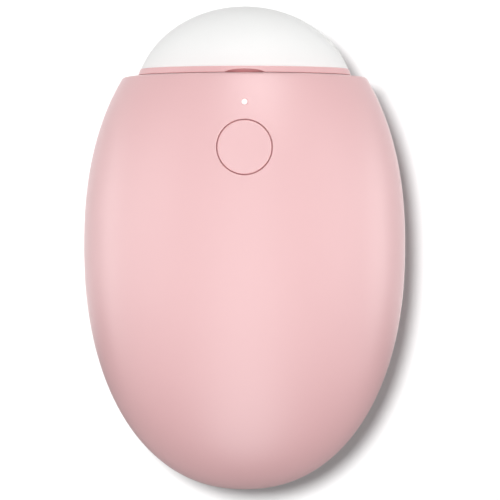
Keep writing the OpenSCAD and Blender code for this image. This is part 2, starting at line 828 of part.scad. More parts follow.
bead_dia = 1.6;
bead_l = 3.4;
fuse_dia = 2;
fuse_l = 7;
fuse_lead_dia = 0.6;
fuse_lead_l = 2;
sensor_in = 2;
sensor_y = plate_y1 - film_in - sensor_in;
bead_z = z_mid + egg_half_d(bead_l / 2, sensor_y + bead_dia / 2, film_inner_inset)
    - bead_dia / 2 - bond_gap;
fuse_z = z_mid - egg_half_d(fuse_l / 2, sensor_y + fuse_dia / 2, film_inner_inset)
    + fuse_dia / 2 + bond_gap;

module rod_along_x(z, dia, l) {
    translate([-l / 2, sensor_y, z]) rotate([0, 90, 0]) cylinder(d = dia, h = l, $fn = round_fn);
}

module thermistor() color([0.2, 0.2, 0.22]) rod_along_x(bead_z, bead_dia, bead_l);

module thermal_fuse() color(plastic_white) {
    rod_along_x(fuse_z, fuse_dia, fuse_l);
    rod_along_x(fuse_z, fuse_lead_dia, fuse_l + 2 * fuse_lead_l);
}

/* Wiring */

wire_dia = 1;
thin_wire_dia = 0.7;
battery_wire_x = 3;
battery_wire_rise = 1.7;
battery_wire_y = board_bottom_y + battery_wire_rise;
battery_wire_lift = 1.1;
front_wire_x = 12;
front_wire_rise = 1.3;
front_wire_y = board_bottom_y + front_wire_rise;
rear_wire_in = 8;
rear_wire_x = board_w / 2 - rear_wire_in;
rear_wire_rise = 1.8;
rear_wire_y = tray_y1 + rear_wire_rise;
wire_slack = 2.6;
wire_start_in = 1.4;
wire_start_y = plate_y1 - film_in - wire_start_in;
sensor_wire_x = 0.8;
sensor_wire_rise = 1.1;
sensor_wire_y = board_bottom_y + sensor_wire_rise;

module pair(points, dia) {
    wire(points, dia);
    mirror([1, 0, 0]) wire(points, dia);
}

module battery_wires() color("firebrick") {
    low_z = z_mid + guard_t / 2;
    turn_z = low_z + battery_wire_lift;
    start_y = guard_y + guard_l / 2;
    pair([[battery_wire_x, start_y, low_z], [battery_wire_x, start_y, turn_z],
          [battery_wire_x, battery_wire_y, turn_z], [battery_wire_x, battery_wire_y, board_z]],
        wire_dia);
}

module heater_wires_front() color("goldenrod") {
    start_z = z_mid + egg_half_d(front_wire_x, wire_start_y + wire_dia, film_inner_inset)
        - wire_dia / 2 - bond_gap;
    pair([[front_wire_x, wire_start_y, start_z],
          [front_wire_x, cell_top_y, start_z - wire_slack],
          [front_wire_x, front_wire_y, board_face_z + wire_slack],
          [front_wire_x, front_wire_y, board_face_z]], wire_dia);
}

module heater_wires_rear() color("goldenrod") {
    start_z = z_mid - egg_half_d(rear_wire_x, wire_start_y + wire_dia, film_inner_inset)
        + wire_dia / 2 + bond_gap;
    pair([[rear_wire_x, wire_start_y, start_z],
          [rear_wire_x, rear_wire_y, start_z + wire_slack / 2],
          [rear_wire_x, rear_wire_y, board_z]], wire_dia);
}

module sensor_wires() color("seashell") {
    start_z = bead_z;
    start_y = sensor_y + bead_dia / 2 + thin_wire_dia / 2;
    pair([[sensor_wire_x, start_y, start_z],
          [sensor_wire_x, cell_top_y, start_z - wire_slack],
          [sensor_wire_x, sensor_wire_y, board_face_z + wire_slack],
          [sensor_wire_x, sensor_wire_y, board_face_z]], thin_wire_dia);
}

/* Fasteners */

module screw(z) {
    rod(0, 0, screw_dia, z - screw_l + seat_gap, z + screw_head_h / 2);
    rod(0, 0, screw_head_dia, z, z + screw_head_h);
}

module board_screws() color(steel) at_board_holes() screw(board_face_z);

module tray_screws() color(steel) at_ears() screw(ear_z + ear_t);

front_shell();
back_shell();
cap_ring();
lamp_dome();
power_button();
light_pipe();
top_deck();
lamp_window();
lamp_board();
lamp_led();
main_board();
switch_body();
switch_plunger();
usb_a_shell();
usb_a_tongue();
usb_a_contacts();
micro_usb_shell();
micro_usb_tongue();
indicator_led();
charge_chip();
boost_inductor();
capacitors();
protection_board();
cell_tabs();
battery_cell_front();
battery_cell_rear();
cell_pad();
battery_tray();
heat_plate_front();
heat_plate_rear();
heater_film_front();
heater_film_rear();
foam_pad_front();
foam_pad_rear();
thermistor();
thermal_fuse();
battery_wires();
heater_wires_front();
heater_wires_rear();
sensor_wires();
board_screws();
tray_screws();
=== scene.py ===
"""Rechargeable hand warmer, lying on its back: an egg-shaped pink body with a frosted lamp cap.

All sizes of the object's pieces are millimetres in the frame of the CAD model: +Z is the front
face with the power button, +Y points to the lamp, and the body rests at z = 0. The studio's are
metres, as everything in Blender is.
"""
import json
import logging
from dataclasses import dataclass, field, replace
from enum import Enum
from math import acos, asin, atan, atan2, cos, pi, radians, sin, sqrt
from typing import Callable, Iterable, Sequence, Union

import bmesh
import bpy
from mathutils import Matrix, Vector

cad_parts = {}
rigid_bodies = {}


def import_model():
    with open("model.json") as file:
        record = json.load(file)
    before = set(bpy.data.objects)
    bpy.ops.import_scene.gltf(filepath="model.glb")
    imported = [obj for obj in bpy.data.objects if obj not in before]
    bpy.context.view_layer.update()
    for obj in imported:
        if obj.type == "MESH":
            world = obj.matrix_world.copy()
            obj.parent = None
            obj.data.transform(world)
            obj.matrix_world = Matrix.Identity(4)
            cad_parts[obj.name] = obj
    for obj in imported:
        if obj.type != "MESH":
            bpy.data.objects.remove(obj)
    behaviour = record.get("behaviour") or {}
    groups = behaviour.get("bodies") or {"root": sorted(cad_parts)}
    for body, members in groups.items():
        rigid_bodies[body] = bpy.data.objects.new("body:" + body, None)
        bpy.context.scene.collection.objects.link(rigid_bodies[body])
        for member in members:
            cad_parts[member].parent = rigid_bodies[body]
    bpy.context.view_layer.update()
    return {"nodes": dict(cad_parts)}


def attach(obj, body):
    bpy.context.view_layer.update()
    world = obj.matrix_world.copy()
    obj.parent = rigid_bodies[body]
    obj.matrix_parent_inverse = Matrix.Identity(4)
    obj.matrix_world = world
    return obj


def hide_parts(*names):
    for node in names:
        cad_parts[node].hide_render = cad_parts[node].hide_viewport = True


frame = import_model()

log = logging.getLogger("hand_warmer")

MM = 0.001
MERGE_DISTANCE = 2e-7       # metres: points that are closer than this become one
ZERO_LENGTH = 1e-8          # metres: a shorter edge is dissolved
TINY = 1e-9                 # stands in for 0 where something is divided by it
LAYER_STRENGTH = 0.55       # how strong each finer layer of noise is
MIX_FIRST, MIX_SECOND, MIX_COLOUR = 6, 7, 2     # the colour sockets of a Mix node
Point = tuple[float, float, float]
Colour = tuple[float, float, float]
Pairs = Sequence[tuple[float, float]]
Height = Callable[[float, float], float]        # gives z at an x and a y
Rows = list[list[int]]                          # the numbers of points, row by row


class Side(Enum):
    """Which half of the body a piece belongs to."""

    FRONT = 1
    BACK = -1


class Body(Enum):
    """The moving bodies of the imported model."""

    HOUSING = "housing"
    BUTTON = "button"
    CAP = "lamp_cap"


class Lights(Enum):
    """What a studio lamp shines on."""

    OBJECT = "object"
    FLOOR = "floor"


# Shader expressions

class Signal:
    """One output socket, used in plain Python expressions."""

    def __init__(self, board: "NodeBoard", socket: bpy.types.NodeSocket) -> None:
        """Keep the socket and the board that it is on."""
        self.board = board
        self.socket = socket

    def __add__(self, other: "Value") -> "Signal":
        """Return self + other."""
        return self.board.math("ADD", self, other)

    def __radd__(self, other: "Value") -> "Signal":
        """Return other + self."""
        return self.board.math("ADD", other, self)

    def __sub__(self, other: "Value") -> "Signal":
        """Return self - other."""
        return self.board.math("SUBTRACT", self, other)

    def __rsub__(self, other: "Value") -> "Signal":
        """Return other - self."""
        return self.board.math("SUBTRACT", other, self)

    def __mul__(self, other: "Value") -> "Signal":
        """Return self * other."""
        return self.board.math("MULTIPLY", self, other)

    def __rmul__(self, other: "Value") -> "Signal":
        """Return other * self."""
        return self.board.math("MULTIPLY", other, self)


Value = Union[Signal, float, int]


class NodeBoard:
    """The node tree of one material or world, with short ways to add nodes."""

    def __init__(self, tree: bpy.types.NodeTree) -> None:
        """Empty the tree and start from nothing."""
        tree.nodes.clear()
        self.tree = tree

    def node(self, kind: str, settings: dict | None = None,
             inputs: dict | None = None, output: Union[str, int] = 0) -> Signal | None:
        """Add a node.

        Args:
            kind: Blender's type name of the node.
            settings: attributes that are set before anything is linked. The key "stops" holds
                a colour ramp's stops, as pairs of a position and a grey level.
            inputs: values or signals by socket name or number.
            output: the socket that the returned signal reads.

        Returns:
            The signal of the wanted output, or None from a node that has no outputs.
        """
        node = self.tree.nodes.new(kind)
        for name, value in (settings or {}).items():
            if name == "stops":
                self._set_stops(node, value)
            else:
                setattr(node, name, value)
        for name, value in (inputs or {}).items():
            if isinstance(value, Signal):
                self.tree.links.new(value.socket, node.inputs[name])
            else:
                node.inputs[name].default_value = value
        return Signal(self, node.outputs[output]) if node.outputs else None

    @staticmethod
    def _set_stops(node: bpy.types.Node, stops: Pairs) -> None:
        """Give a colour ramp its stops.

        Args:
            node: the colour ramp.
            stops: pairs of a position and a grey level.
        """
        ramp = node.color_ramp
        while len(ramp.elements) < len(stops):
            ramp.elements.new(0.5)
        for element, (place, grey) in zip(ramp.elements, stops):
            element.position = place
            element.color = (grey, grey, grey, 1)

    def math(self, operation: str, *values: Value) -> Signal:
        """Return the result of a Math node on one or two values."""
        return self.node("ShaderNodeMath", {"operation": operation}, dict(enumerate(values)))

    def vector(self, operation: str, *values: Union[Signal, Point]) -> Signal:
        """Return the result of a Vector Math node."""
        return self.node("ShaderNodeVectorMath", {"operation": operation},
                         dict(enumerate(values)))

    def mix(self, factor: Value, first: Union[Signal, Colour],
            second: Union[Signal, Colour]) -> Signal:
        """Blend two colours.

        Args:
            factor: 0 gives the first colour and 1 the second.
            first: a colour or a colour signal.
            second: a colour or a colour signal.

        Returns:
            The blended colour.
        """
        ends = [end if isinstance(end, Signal) else (*end, 1) for end in (first, second)]
        return self.node("ShaderNodeMix", {"data_type": "RGBA"},
                         {0: factor, MIX_FIRST: ends[0], MIX_SECOND: ends[1]},
                         output=MIX_COLOUR)

    def place(self) -> Signal:
        """Return the point on the piece, in metres of its own frame."""
        return self.node("ShaderNodeTexCoord", output="Object")

    def axis(self, place: Signal, name: str) -> Signal:
        """Return one coordinate, X, Y or Z, of a place."""
        return self.node("ShaderNodeSeparateXYZ", inputs={0: place}, output=name)

    def noise(self, place: Signal, size: float, detail: float = 3.0) -> Signal:
        """Return soft noise.

        Args:
            place: where to read it.
            size: the size of its blobs in millimetres.
            detail: how many finer layers it has.

        Returns:
            A value from 0 to 1, about 0.5 on average.
        """
        return self.node("ShaderNodeTexNoise", inputs={
            "Vector": place, "Scale": 1 / (size * MM), "Detail": detail,
            "Roughness": LAYER_STRENGTH})

    def ramp(self, value: Signal, stops: Pairs) -> Signal:
        """Return a value passed through a ramp of grey stops."""
        return self.node("ShaderNodeValToRGB", {"stops": stops}, {0: value})

    def bump(self, height: Signal, depth: float) -> Signal:
        """Return a normal bumped by a height, of which 1 stands for a depth in millimetres."""
        return self.node("ShaderNodeBump", inputs={"Height": height, "Distance": depth * MM})


# Finishes

def linear(level: float) -> float:
    """Return the linear value of one screen level from 0 to 255."""
    share = level / 255
    return share / 12.92 if share <= 0.04045 else ((share + 0.055) / 1.055) ** 2.4


def srgb(red: float, green: float, blue: float) -> Colour:
    """Return the linear colour of three screen levels from 0 to 255."""
    return linear(red), linear(green), linear(blue)


def shade(colour: Colour, level: float) -> Colour:
    """Return a colour made lighter or darker by a factor."""
    return tuple(min(1.0, channel * level) for channel in colour)


@dataclass(frozen=True)
class Finish:
    """A surface finish: its colour, gloss and the fine relief it shows.

    The sizes and the depth are millimetres. Mottle is the share by which the colour varies, and
    the roughness varies by rough_spread, in patches that are rough_grains grains wide.
    """

    name: str
    slot: str
    colour: Colour
    roughness: float = 0.4
    metallic: float = 0.0
    coat: float = 0.0
    coat_roughness: float = 0.3
    specular: float = 0.5
    mottle: float = 0.02
    mottle_size: float = 9.0
    grain_size: float = 0.3
    grain_depth: float = 0.004
    rough_spread: float = 0.08
    rough_grains: int = 4

    def material(self) -> bpy.types.Material:
        """Make the material, or find the one that already has the finish's name.

        Returns:
            The material of that name.
        """
        existing = bpy.data.materials.get(self.name)
        if existing:
            return existing
        material = bpy.data.materials.new(self.name)
        material.use_nodes = True
        board = NodeBoard(material.node_tree)
        place = board.place()
        surface = board.node("ShaderNodeBsdfPrincipled", inputs={
            "Base Color": self.paint(board, place),
            "Roughness": self.gloss(board, place),
            "Metallic": self.metallic,
            "Coat Weight": self.coat,
            "Coat Roughness": self.coat_roughness,
            "Specular IOR Level": self.specular,
            "Normal": board.bump(self.height(board, place), self.grain_depth),
            **self.extras(),
        })
        board.node("ShaderNodeOutputMaterial", inputs={"Surface": surface})
        return material

    def paint(self, board: NodeBoard, place: Signal) -> Signal:
        """Return the colour over the surface."""
        cloud = board.noise(place, self.mottle_size, detail=2.0)
        return board.mix(cloud, shade(self.colour, 1 - self.mottle),
                         shade(self.colour, 1 + self.mottle))

    def gloss(self, board: NodeBoard, place: Signal) -> Signal:
        """Return the roughness over the surface."""
        patch = board.noise(place, self.grain_size * self.rough_grains)
        return self.roughness + (patch - 0.5) * self.rough_spread

    def height(self, board: NodeBoard, place: Signal) -> Signal:
        """Return the relief over the surface, as a height from 0 to 1."""
        return board.noise(place, self.grain_size, detail=2.0)

    def extras(self) -> dict:
        """Return more sockets of the surface, such as its glow."""
        return {}


@dataclass(frozen=True)
class Glow(Finish):
    """A finish that also gives off a little light of its own colour."""

    glow: float = 0.1

    def extras(self) -> dict:
        """Return the glow's sockets."""
        return {"Emission Color": (*self.colour, 1), "Emission Strength": self.glow}


@dataclass(frozen=True)
class BrushedMetal(Finish):
    """Sheet metal with fine lines along Y."""

    line_size: float = 0.25
    line_squeeze: float = 0.04

    def height(self, board: NodeBoard, place: Signal) -> Signal:
        """Return the height of drawn metal, with lines that run along Y."""
        drawn = board.vector("MULTIPLY", place, (1.0, self.line_squeeze, 1.0))
        return board.noise(drawn, self.line_size, detail=4.0)


@dataclass(frozen=True)
class CircuitBoard(Finish):
    """Solder mask with copper tracks that shine through it.

    The wave that gives the tracks repeats after pi / 10 of wave_size, and the tracks step aside
    by up to bend, in cells of bend_size.
    """

    wave_size: float = 13.0
    bend_size: float = 4.0
    bend: float = 1.1
    track_shade: float = 1.7
    track_stops: Pairs = ((0.62, 0.0), (0.68, 1.0))

    def tracks(self, board: NodeBoard, place: Signal) -> Signal:
        """Lay tracks along Y that step aside here and there.

        Args:
            board: the material's nodes.
            place: the point on the piece.

        Returns:
            1 on a track and 0 between tracks.
        """
        cells = board.node("ShaderNodeTexVoronoi", {"feature": "F1"},
                           {"Vector": place, "Scale": 1 / (self.bend_size * MM)}, "Color")
        step = board.vector("MULTIPLY", cells, (self.bend * MM, self.bend * MM, 0.0))
        lines = board.node("ShaderNodeTexWave", {"bands_direction": "X"}, {
            "Vector": board.vector("ADD", place, step),
            "Scale": 1 / (self.wave_size * MM)}, "Fac")
        return board.ramp(lines, self.track_stops)

    def paint(self, board: NodeBoard, place: Signal) -> Signal:
        """Return the mask's green, lighter over the tracks."""
        return board.mix(self.tracks(board, place), self.colour,
                         shade(self.colour, self.track_shade))

    def height(self, board: NodeBoard, place: Signal) -> Signal:
        """Return the height, with the tracks standing slightly proud."""
        return self.tracks(board, place)


@dataclass(frozen=True)
class PouchFoil(Finish):
    """Laminated foil of a flat cell, with long soft creases."""

    crease_size: float = 5.0
    crease_share: float = 0.6
    crease_stops: Pairs = ((0.0, 0.0), (0.25, 1.0))
    wrinkle_size: float = 1.2

    def height(self, board: NodeBoard, place: Signal) -> Signal:
        """Crease the foil lightly.

        Args:
            board: the material's nodes.
            place: the point on the piece.

        Returns:
            The height, from creases and finer wrinkles.
        """
        crease = board.node("ShaderNodeTexVoronoi", {"feature": "DISTANCE_TO_EDGE"},
                            {"Vector": place, "Scale": 1 / (self.crease_size * MM)})
        soft = board.ramp(crease, self.crease_stops)
        wrinkle = board.noise(place, self.wrinkle_size)
        return soft * self.crease_share + wrinkle * (1 - self.crease_share)


@dataclass(frozen=True)
class HeaterFilm(Finish):
    """Amber film with the dark runs of a foil heater's track across it."""

    pitch: float = 2.4
    track_colour: Colour = srgb(96, 50, 20)
    track_stops: Pairs = ((0.42, 0.0), (0.5, 1.0))

    def track(self, board: NodeBoard, place: Signal) -> Signal:
        """Return 1 on the track and 0 on the bare film."""
        wave = board.math("SINE", board.axis(place, "Y") * (2 * pi / (self.pitch * MM)))
        return board.ramp(wave * 0.5 + 0.5, self.track_stops)

    def paint(self, board: NodeBoard, place: Signal) -> Signal:
        """Return amber film with its brown track."""
        return board.mix(self.track(board, place), self.colour, self.track_colour)

    def height(self, board: NodeBoard, place: Signal) -> Signal:
        """Return the height, with the track standing slightly proud."""
        return self.track(board, place)


@dataclass(frozen=True)
class FoamSkin(Finish):
    """Fine open-cell foam, with painted shade in its pores."""

    cell_size: float = 0.7
    painted_pore_shade: float = 0.55
    cell_stops: Pairs = ((0.1, 0.0), (0.7, 1.0))

    def cells(self, board: NodeBoard, place: Signal) -> Signal:
        """Return 0 in the middle of a cell and 1 on the walls between cells."""
        ball = board.node("ShaderNodeTexVoronoi", {"feature": "F1"},
                          {"Vector": place, "Scale": 1 / (self.cell_size * MM)})
        return board.ramp(ball, self.cell_stops)

    def paint(self, board: NodeBoard, place: Signal) -> Signal:
        """Return grey foam, darker in the middles of its cells by painted shade."""
        # Painted shade: the middles of the cells, where the pores sink in, are darkened.
        return board.mix(self.cells(board, place), shade(self.colour, self.painted_pore_shade),
                         self.colour)

    def height(self, board: NodeBoard, place: Signal) -> Signal:
        """Return the height of a surface of small open cells."""
        return self.cells(board, place)


SATIN_PINK = Finish("satin_pink_shell", "shell_pink", srgb(235, 185, 187), roughness=0.42,
                    coat=1.0, coat_roughness=0.4, specular=0.9, mottle=0.012,
                    mottle_size=14.0, grain_size=0.16, grain_depth=0.0035)
SATIN_BUTTON = replace(SATIN_PINK, name="satin_pink_button", roughness=0.4, mottle=0.01,
                       mottle_size=6.0, grain_size=0.14, grain_depth=0.003)
# The dome's glow (Glow's default strength) is painted light: it lightens the frosted shade all
# over, on top of what the studio lamps give it.
FROSTED = Glow("frosted_lamp_shade", "frosted_white", srgb(248, 248, 247), roughness=0.5,
               coat=0.3, coat_roughness=0.45, mottle=0.006, mottle_size=10.0,
               grain_size=0.12, grain_depth=0.003)
LIGHT_LENS = Glow("indicator_lens", "clear_plastic", srgb(255, 252, 250), roughness=0.25,
                  mottle=0.004, grain_size=0.1, grain_depth=0.001, glow=0.35)
WINDOW = Finish("lamp_window_diffuser", "clear_plastic", srgb(240, 240, 236), roughness=0.35,
                mottle_size=2.0, grain_size=0.2, grain_depth=0.01)
DECK_WHITE = Finish("moulded_white", "plastic_white", srgb(233, 232, 228), roughness=0.5,
                    grain_size=0.25, grain_depth=0.008)
MOULDED_BLACK = Finish("moulded_black", "plastic_black", srgb(34, 34, 36), roughness=0.45,
                       mottle=0.1, mottle_size=3.0, grain_size=0.2, grain_depth=0.008)
BOARD_GREEN = CircuitBoard("solder_mask", "circuit_board", srgb(24, 96, 52), roughness=0.3,
                           coat=0.4, grain_depth=0.03)
SOCKET_STEEL = BrushedMetal("drawn_socket_steel", "socket_steel", srgb(196, 197, 200),
                            roughness=0.3, metallic=1.0, mottle=0.05, grain_depth=0.006)
SCREW_STEEL = Finish("screw_steel", "screw_steel", srgb(188, 189, 192), roughness=0.28,
                     metallic=1.0, mottle=0.06, mottle_size=1.5, grain_size=0.1)
GOLD = Finish("plated_contacts", "contact_gold", srgb(226, 186, 96), roughness=0.25,
              metallic=1.0, mottle=0.05, mottle_size=1.0, grain_size=0.1)
LED_YELLOW = Glow("led_phosphor", "led_white", srgb(244, 232, 150), mottle=0.03,
                  mottle_size=0.8, grain_size=0.1, glow=0.2)
COIL = Finish("ferrite_coil", "coil_dark", srgb(58, 58, 62), roughness=0.6, mottle=0.15,
              mottle_size=0.8, grain_depth=0.03)
CAPACITOR = Finish("capacitor_tan", "capacitor_tan", srgb(205, 158, 82), roughness=0.45,
                   mottle=0.06, mottle_size=1.5, grain_size=0.15, grain_depth=0.006)
CELL_FOIL = PouchFoil("cell_pouch_foil", "cell_foil", srgb(190, 194, 200), roughness=0.35,
                      metallic=0.9, mottle=0.06, mottle_size=6.0, grain_depth=0.08)
PLATE = BrushedMetal("rolled_aluminium", "aluminium", srgb(208, 210, 212), roughness=0.38,
                     metallic=1.0, mottle=0.04, grain_depth=0.008, line_size=0.4)
FILM = HeaterFilm("heater_film", "heater_film", srgb(204, 126, 44), roughness=0.3, coat=0.3,
                  grain_depth=0.04)
FOAM = FoamSkin("open_cell_foam", "foam", srgb(88, 90, 94), roughness=0.9, specular=0.2,
                grain_depth=0.15)
SENSOR = Finish("sensor_glass", "sensor_glass", srgb(60, 58, 60), roughness=0.15, coat=0.6,
                mottle=0.1, mottle_size=1.0)
WIRE_RED = Finish("wire_red", "wire_red", srgb(176, 32, 36), roughness=0.45, mottle=0.04,
                  mottle_size=3.0, grain_size=0.2, grain_depth=0.006)
WIRE_YELLOW = replace(WIRE_RED, name="wire_yellow", slot="wire_yellow",
                      colour=srgb(218, 168, 40))
WIRE_WHITE = replace(WIRE_RED, name="wire_white", slot="wire_white",
                     colour=srgb(238, 232, 224), mottle=0.03)


# Mesh drafting

def around(steps: int) -> list[float]:
    """Return evenly spaced angles, once round."""
    return [2 * pi * k / steps for k in range(steps)]


def quarter(steps: int, first: int = 0) -> list[tuple[float, float]]:
    """Return the sine and cosine of even steps through a quarter turn."""
    turns = [pi / 2 * k / steps for k in range(first, steps + 1)]
    return [(sin(a), cos(a)) for a in turns]


class Draft:
    """A mesh being drawn in millimetres, row by row."""

    def __init__(self) -> None:
        """Start with no points and no faces."""
        self.points: list[Point] = []
        self.faces: list[list[int]] = []

    def row(self, points: Iterable[Point]) -> list[int]:
        """Add points.

        Args:
            points: the points, in millimetres.

        Returns:
            Their numbers.
        """
        start = len(self.points)
        self.points.extend(points)
        return list(range(start, len(self.points)))

    def bridge(self, low: Sequence[int], high: Sequence[int], closed: bool = False,
               skip: Callable[[int], bool] | None = None) -> None:
        """Join two rows with quads.

        Args:
            low: one row.
            high: the other row, as long as the first.
            closed: whether the rows are loops.
            skip: says which columns stay open.
        """
        count = len(low)
        for i in range(count if closed else count - 1):
            if skip and skip(i):
                continue
            j = (i + 1) % count
            self.faces.append([low[i], low[j], high[j], high[i]])

    def loft(self, rows: Sequence[Sequence[int]], closed: bool = True,
             ring: bool = False) -> None:
        """Join rows one after the other.

        Args:
            rows: the rows, all of one length.
            closed: whether the rows are loops.
            ring: whether the last row joins the first.
        """
        for low, high in zip(rows, rows[1:]):
            self.bridge(low, high, closed)
        if ring:
            self.bridge(rows[-1], rows[0], closed)

    def cap(self, loop: Sequence[int]) -> None:
        """Close a loop with one face."""
        self.faces.append(list(loop))

    def solid(self, rows: Sequence[Sequence[int]]) -> None:
        """Join loops one after the other into a closed form.

        Args:
            rows: the loops, of which the first and the last are closed with a face.
        """
        self.loft(rows)
        self.cap(rows[0][::-1])
        self.cap(rows[-1])

    def block(self, low: Point, high: Point, edge: float) -> None:
        """Add a block whose edges are chamfered.

        Args:
            low: its lowest corner.
            high: its highest corner.
            edge: the size of the chamfer.
        """
        rows = []
        for z, inset in ((low[2], edge), (low[2] + edge, 0.0), (high[2] - edge, 0.0),
                         (high[2], edge)):
            x0, x1 = low[0] + inset, high[0] - inset
            y0, y1 = low[1] + inset, high[1] - inset
            rows.append(self.row([
                (x0 + edge, y0, z), (x1 - edge, y0, z), (x1, y0 + edge, z), (x1, y1 - edge, z),
                (x1 - edge, y1, z), (x0 + edge, y1, z), (x0, y1 - edge, z), (x0, y0 + edge, z)]))
        self.solid(rows)

    def turned(self, x: float, y: float, profile: Pairs, steps: int) -> None:
        """Add a closed form turned about a line along Z.

        Args:
            x: place of the line.
            y: place of the line.
            profile: pairs of radius and z, from one end to the other.
            steps: how many sides it has.
        """
        self.solid([self.row([(x + r * cos(a), y + r * sin(a), z) for a in around(steps)])
                    for r, z in profile])

    def build(self, name: str, finish: Finish, body: Body, sharp: float = 38.0,
              stands_for: Sequence[str] = ()) -> bpy.types.Object:
        """Make the object, dress it and set it on its body.

        Args:
            name: the piece's name.
            finish: its finish.
            body: the body that it rides on.
            sharp: edges steeper than this many degrees stay sharp.
            stands_for: CAD nodes that it replaces.

        Returns:
            The new object.
        """
        form = bmesh.new()
        corners = [form.verts.new((x * MM, y * MM, z * MM)) for x, y, z in self.points]
        for face in self.faces:
            loop = [corners[i] for k, i in enumerate(face) if face[k - 1] != i]
            if len(set(loop)) > 2 and form.faces.get(loop) is None:
                form.faces.new(loop)
        bmesh.ops.remove_doubles(form, verts=form.verts, dist=MERGE_DISTANCE)
        bmesh.ops.dissolve_degenerate(form, edges=form.edges, dist=ZERO_LENGTH)
        bmesh.ops.recalc_face_normals(form, faces=form.faces)
        mesh = bpy.data.meshes.new(name)
        form.to_mesh(mesh)
        form.free()
        mesh.shade_smooth()
        mesh.set_sharp_from_angle(angle=radians(sharp))
        piece = bpy.data.objects.new(name, mesh)
        bpy.context.scene.collection.objects.link(piece)
        mesh.materials.append(finish.material())
        if stands_for:
            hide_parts(*stands_for)
        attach(piece, body.value)
        log.info("%s: %d faces on %s", name, len(mesh.polygons), body.value)
        return piece


# The body

@dataclass(frozen=True)
class Egg:
    """The outline that the body, the button and the inner pieces follow."""

    length: float = 99.2
    width: float = 66.0
    depth: float = 38.8
    widest_y: float = 0.6
    power: float = 2.2
    back_flat: float = 0.8
    wall: float = 2.0

    @property
    def middle(self) -> float:
        """Return the height of the seam between the two shells."""
        return self.depth / 2 - self.back_flat

    def reach(self, upper: bool, inset: float) -> float:
        """Return the length from the widest line to the top or bottom tip."""
        return self.length / 2 + (-self.widest_y if upper else self.widest_y) - inset

    def half_width(self, y: float, inset: float = 0.0) -> float:
        """Return half the width at a height along the body."""
        share = min(1.0, abs(y - self.widest_y) / self.reach(y >= self.widest_y, inset))
        return (self.width / 2 - inset) * (1 - share ** self.power) ** (1 / self.power)

    def flatness(self, inset: float = 0.0) -> float:
        """Return the depth as a share of the width."""
        return (self.depth / 2 - inset) / (self.width / 2 - inset)

    def half_depth(self, x: float, y: float, inset: float = 0.0) -> float:
        """Return how far the surface lies from the seam plane."""
        return self.flatness(inset) * sqrt(max(0.0, self.half_width(y, inset) ** 2 - x * x))

    def front(self, x: float, y: float, inset: float = 0.0) -> float:
        """Return the height of the front surface above the floor."""
        return self.middle + self.half_depth(x, y, inset)

    def lower_point(self, angle: float, inset: float = 0.0) -> tuple[float, float]:
        """Return y and half the width on the lower outline, -90 degrees being its tip."""
        sine, cosine = abs(sin(radians(angle))), max(0.0, cos(radians(angle)))
        return (self.widest_y - self.reach(False, inset) * sine ** (2 / self.power),
                (self.width / 2 - inset) * cosine ** (2 / self.power))


@dataclass(frozen=True)
class Hole:
    """A round hole through the front shell, with the sleeve behind it."""

    y: float
    radius: float
    edge: float
    sleeve_radius: float
    sleeve_end: float

    def loop(self, count: int, radius: float, height: Height) -> list[Point]:
        """Return points round the hole.

        Args:
            count: how many points.
            radius: their distance from the hole's line.
            height: gives z at a place.

        Returns:
            The points, from the lower left round to the right.
        """
        lower_left = -135
        turns = [radians(lower_left + 360 * k / count) for k in range(count)]
        places = [(radius * cos(a), self.y + radius * sin(a)) for a in turns]
        return [(x, y, height(x, y)) for x, y in places]


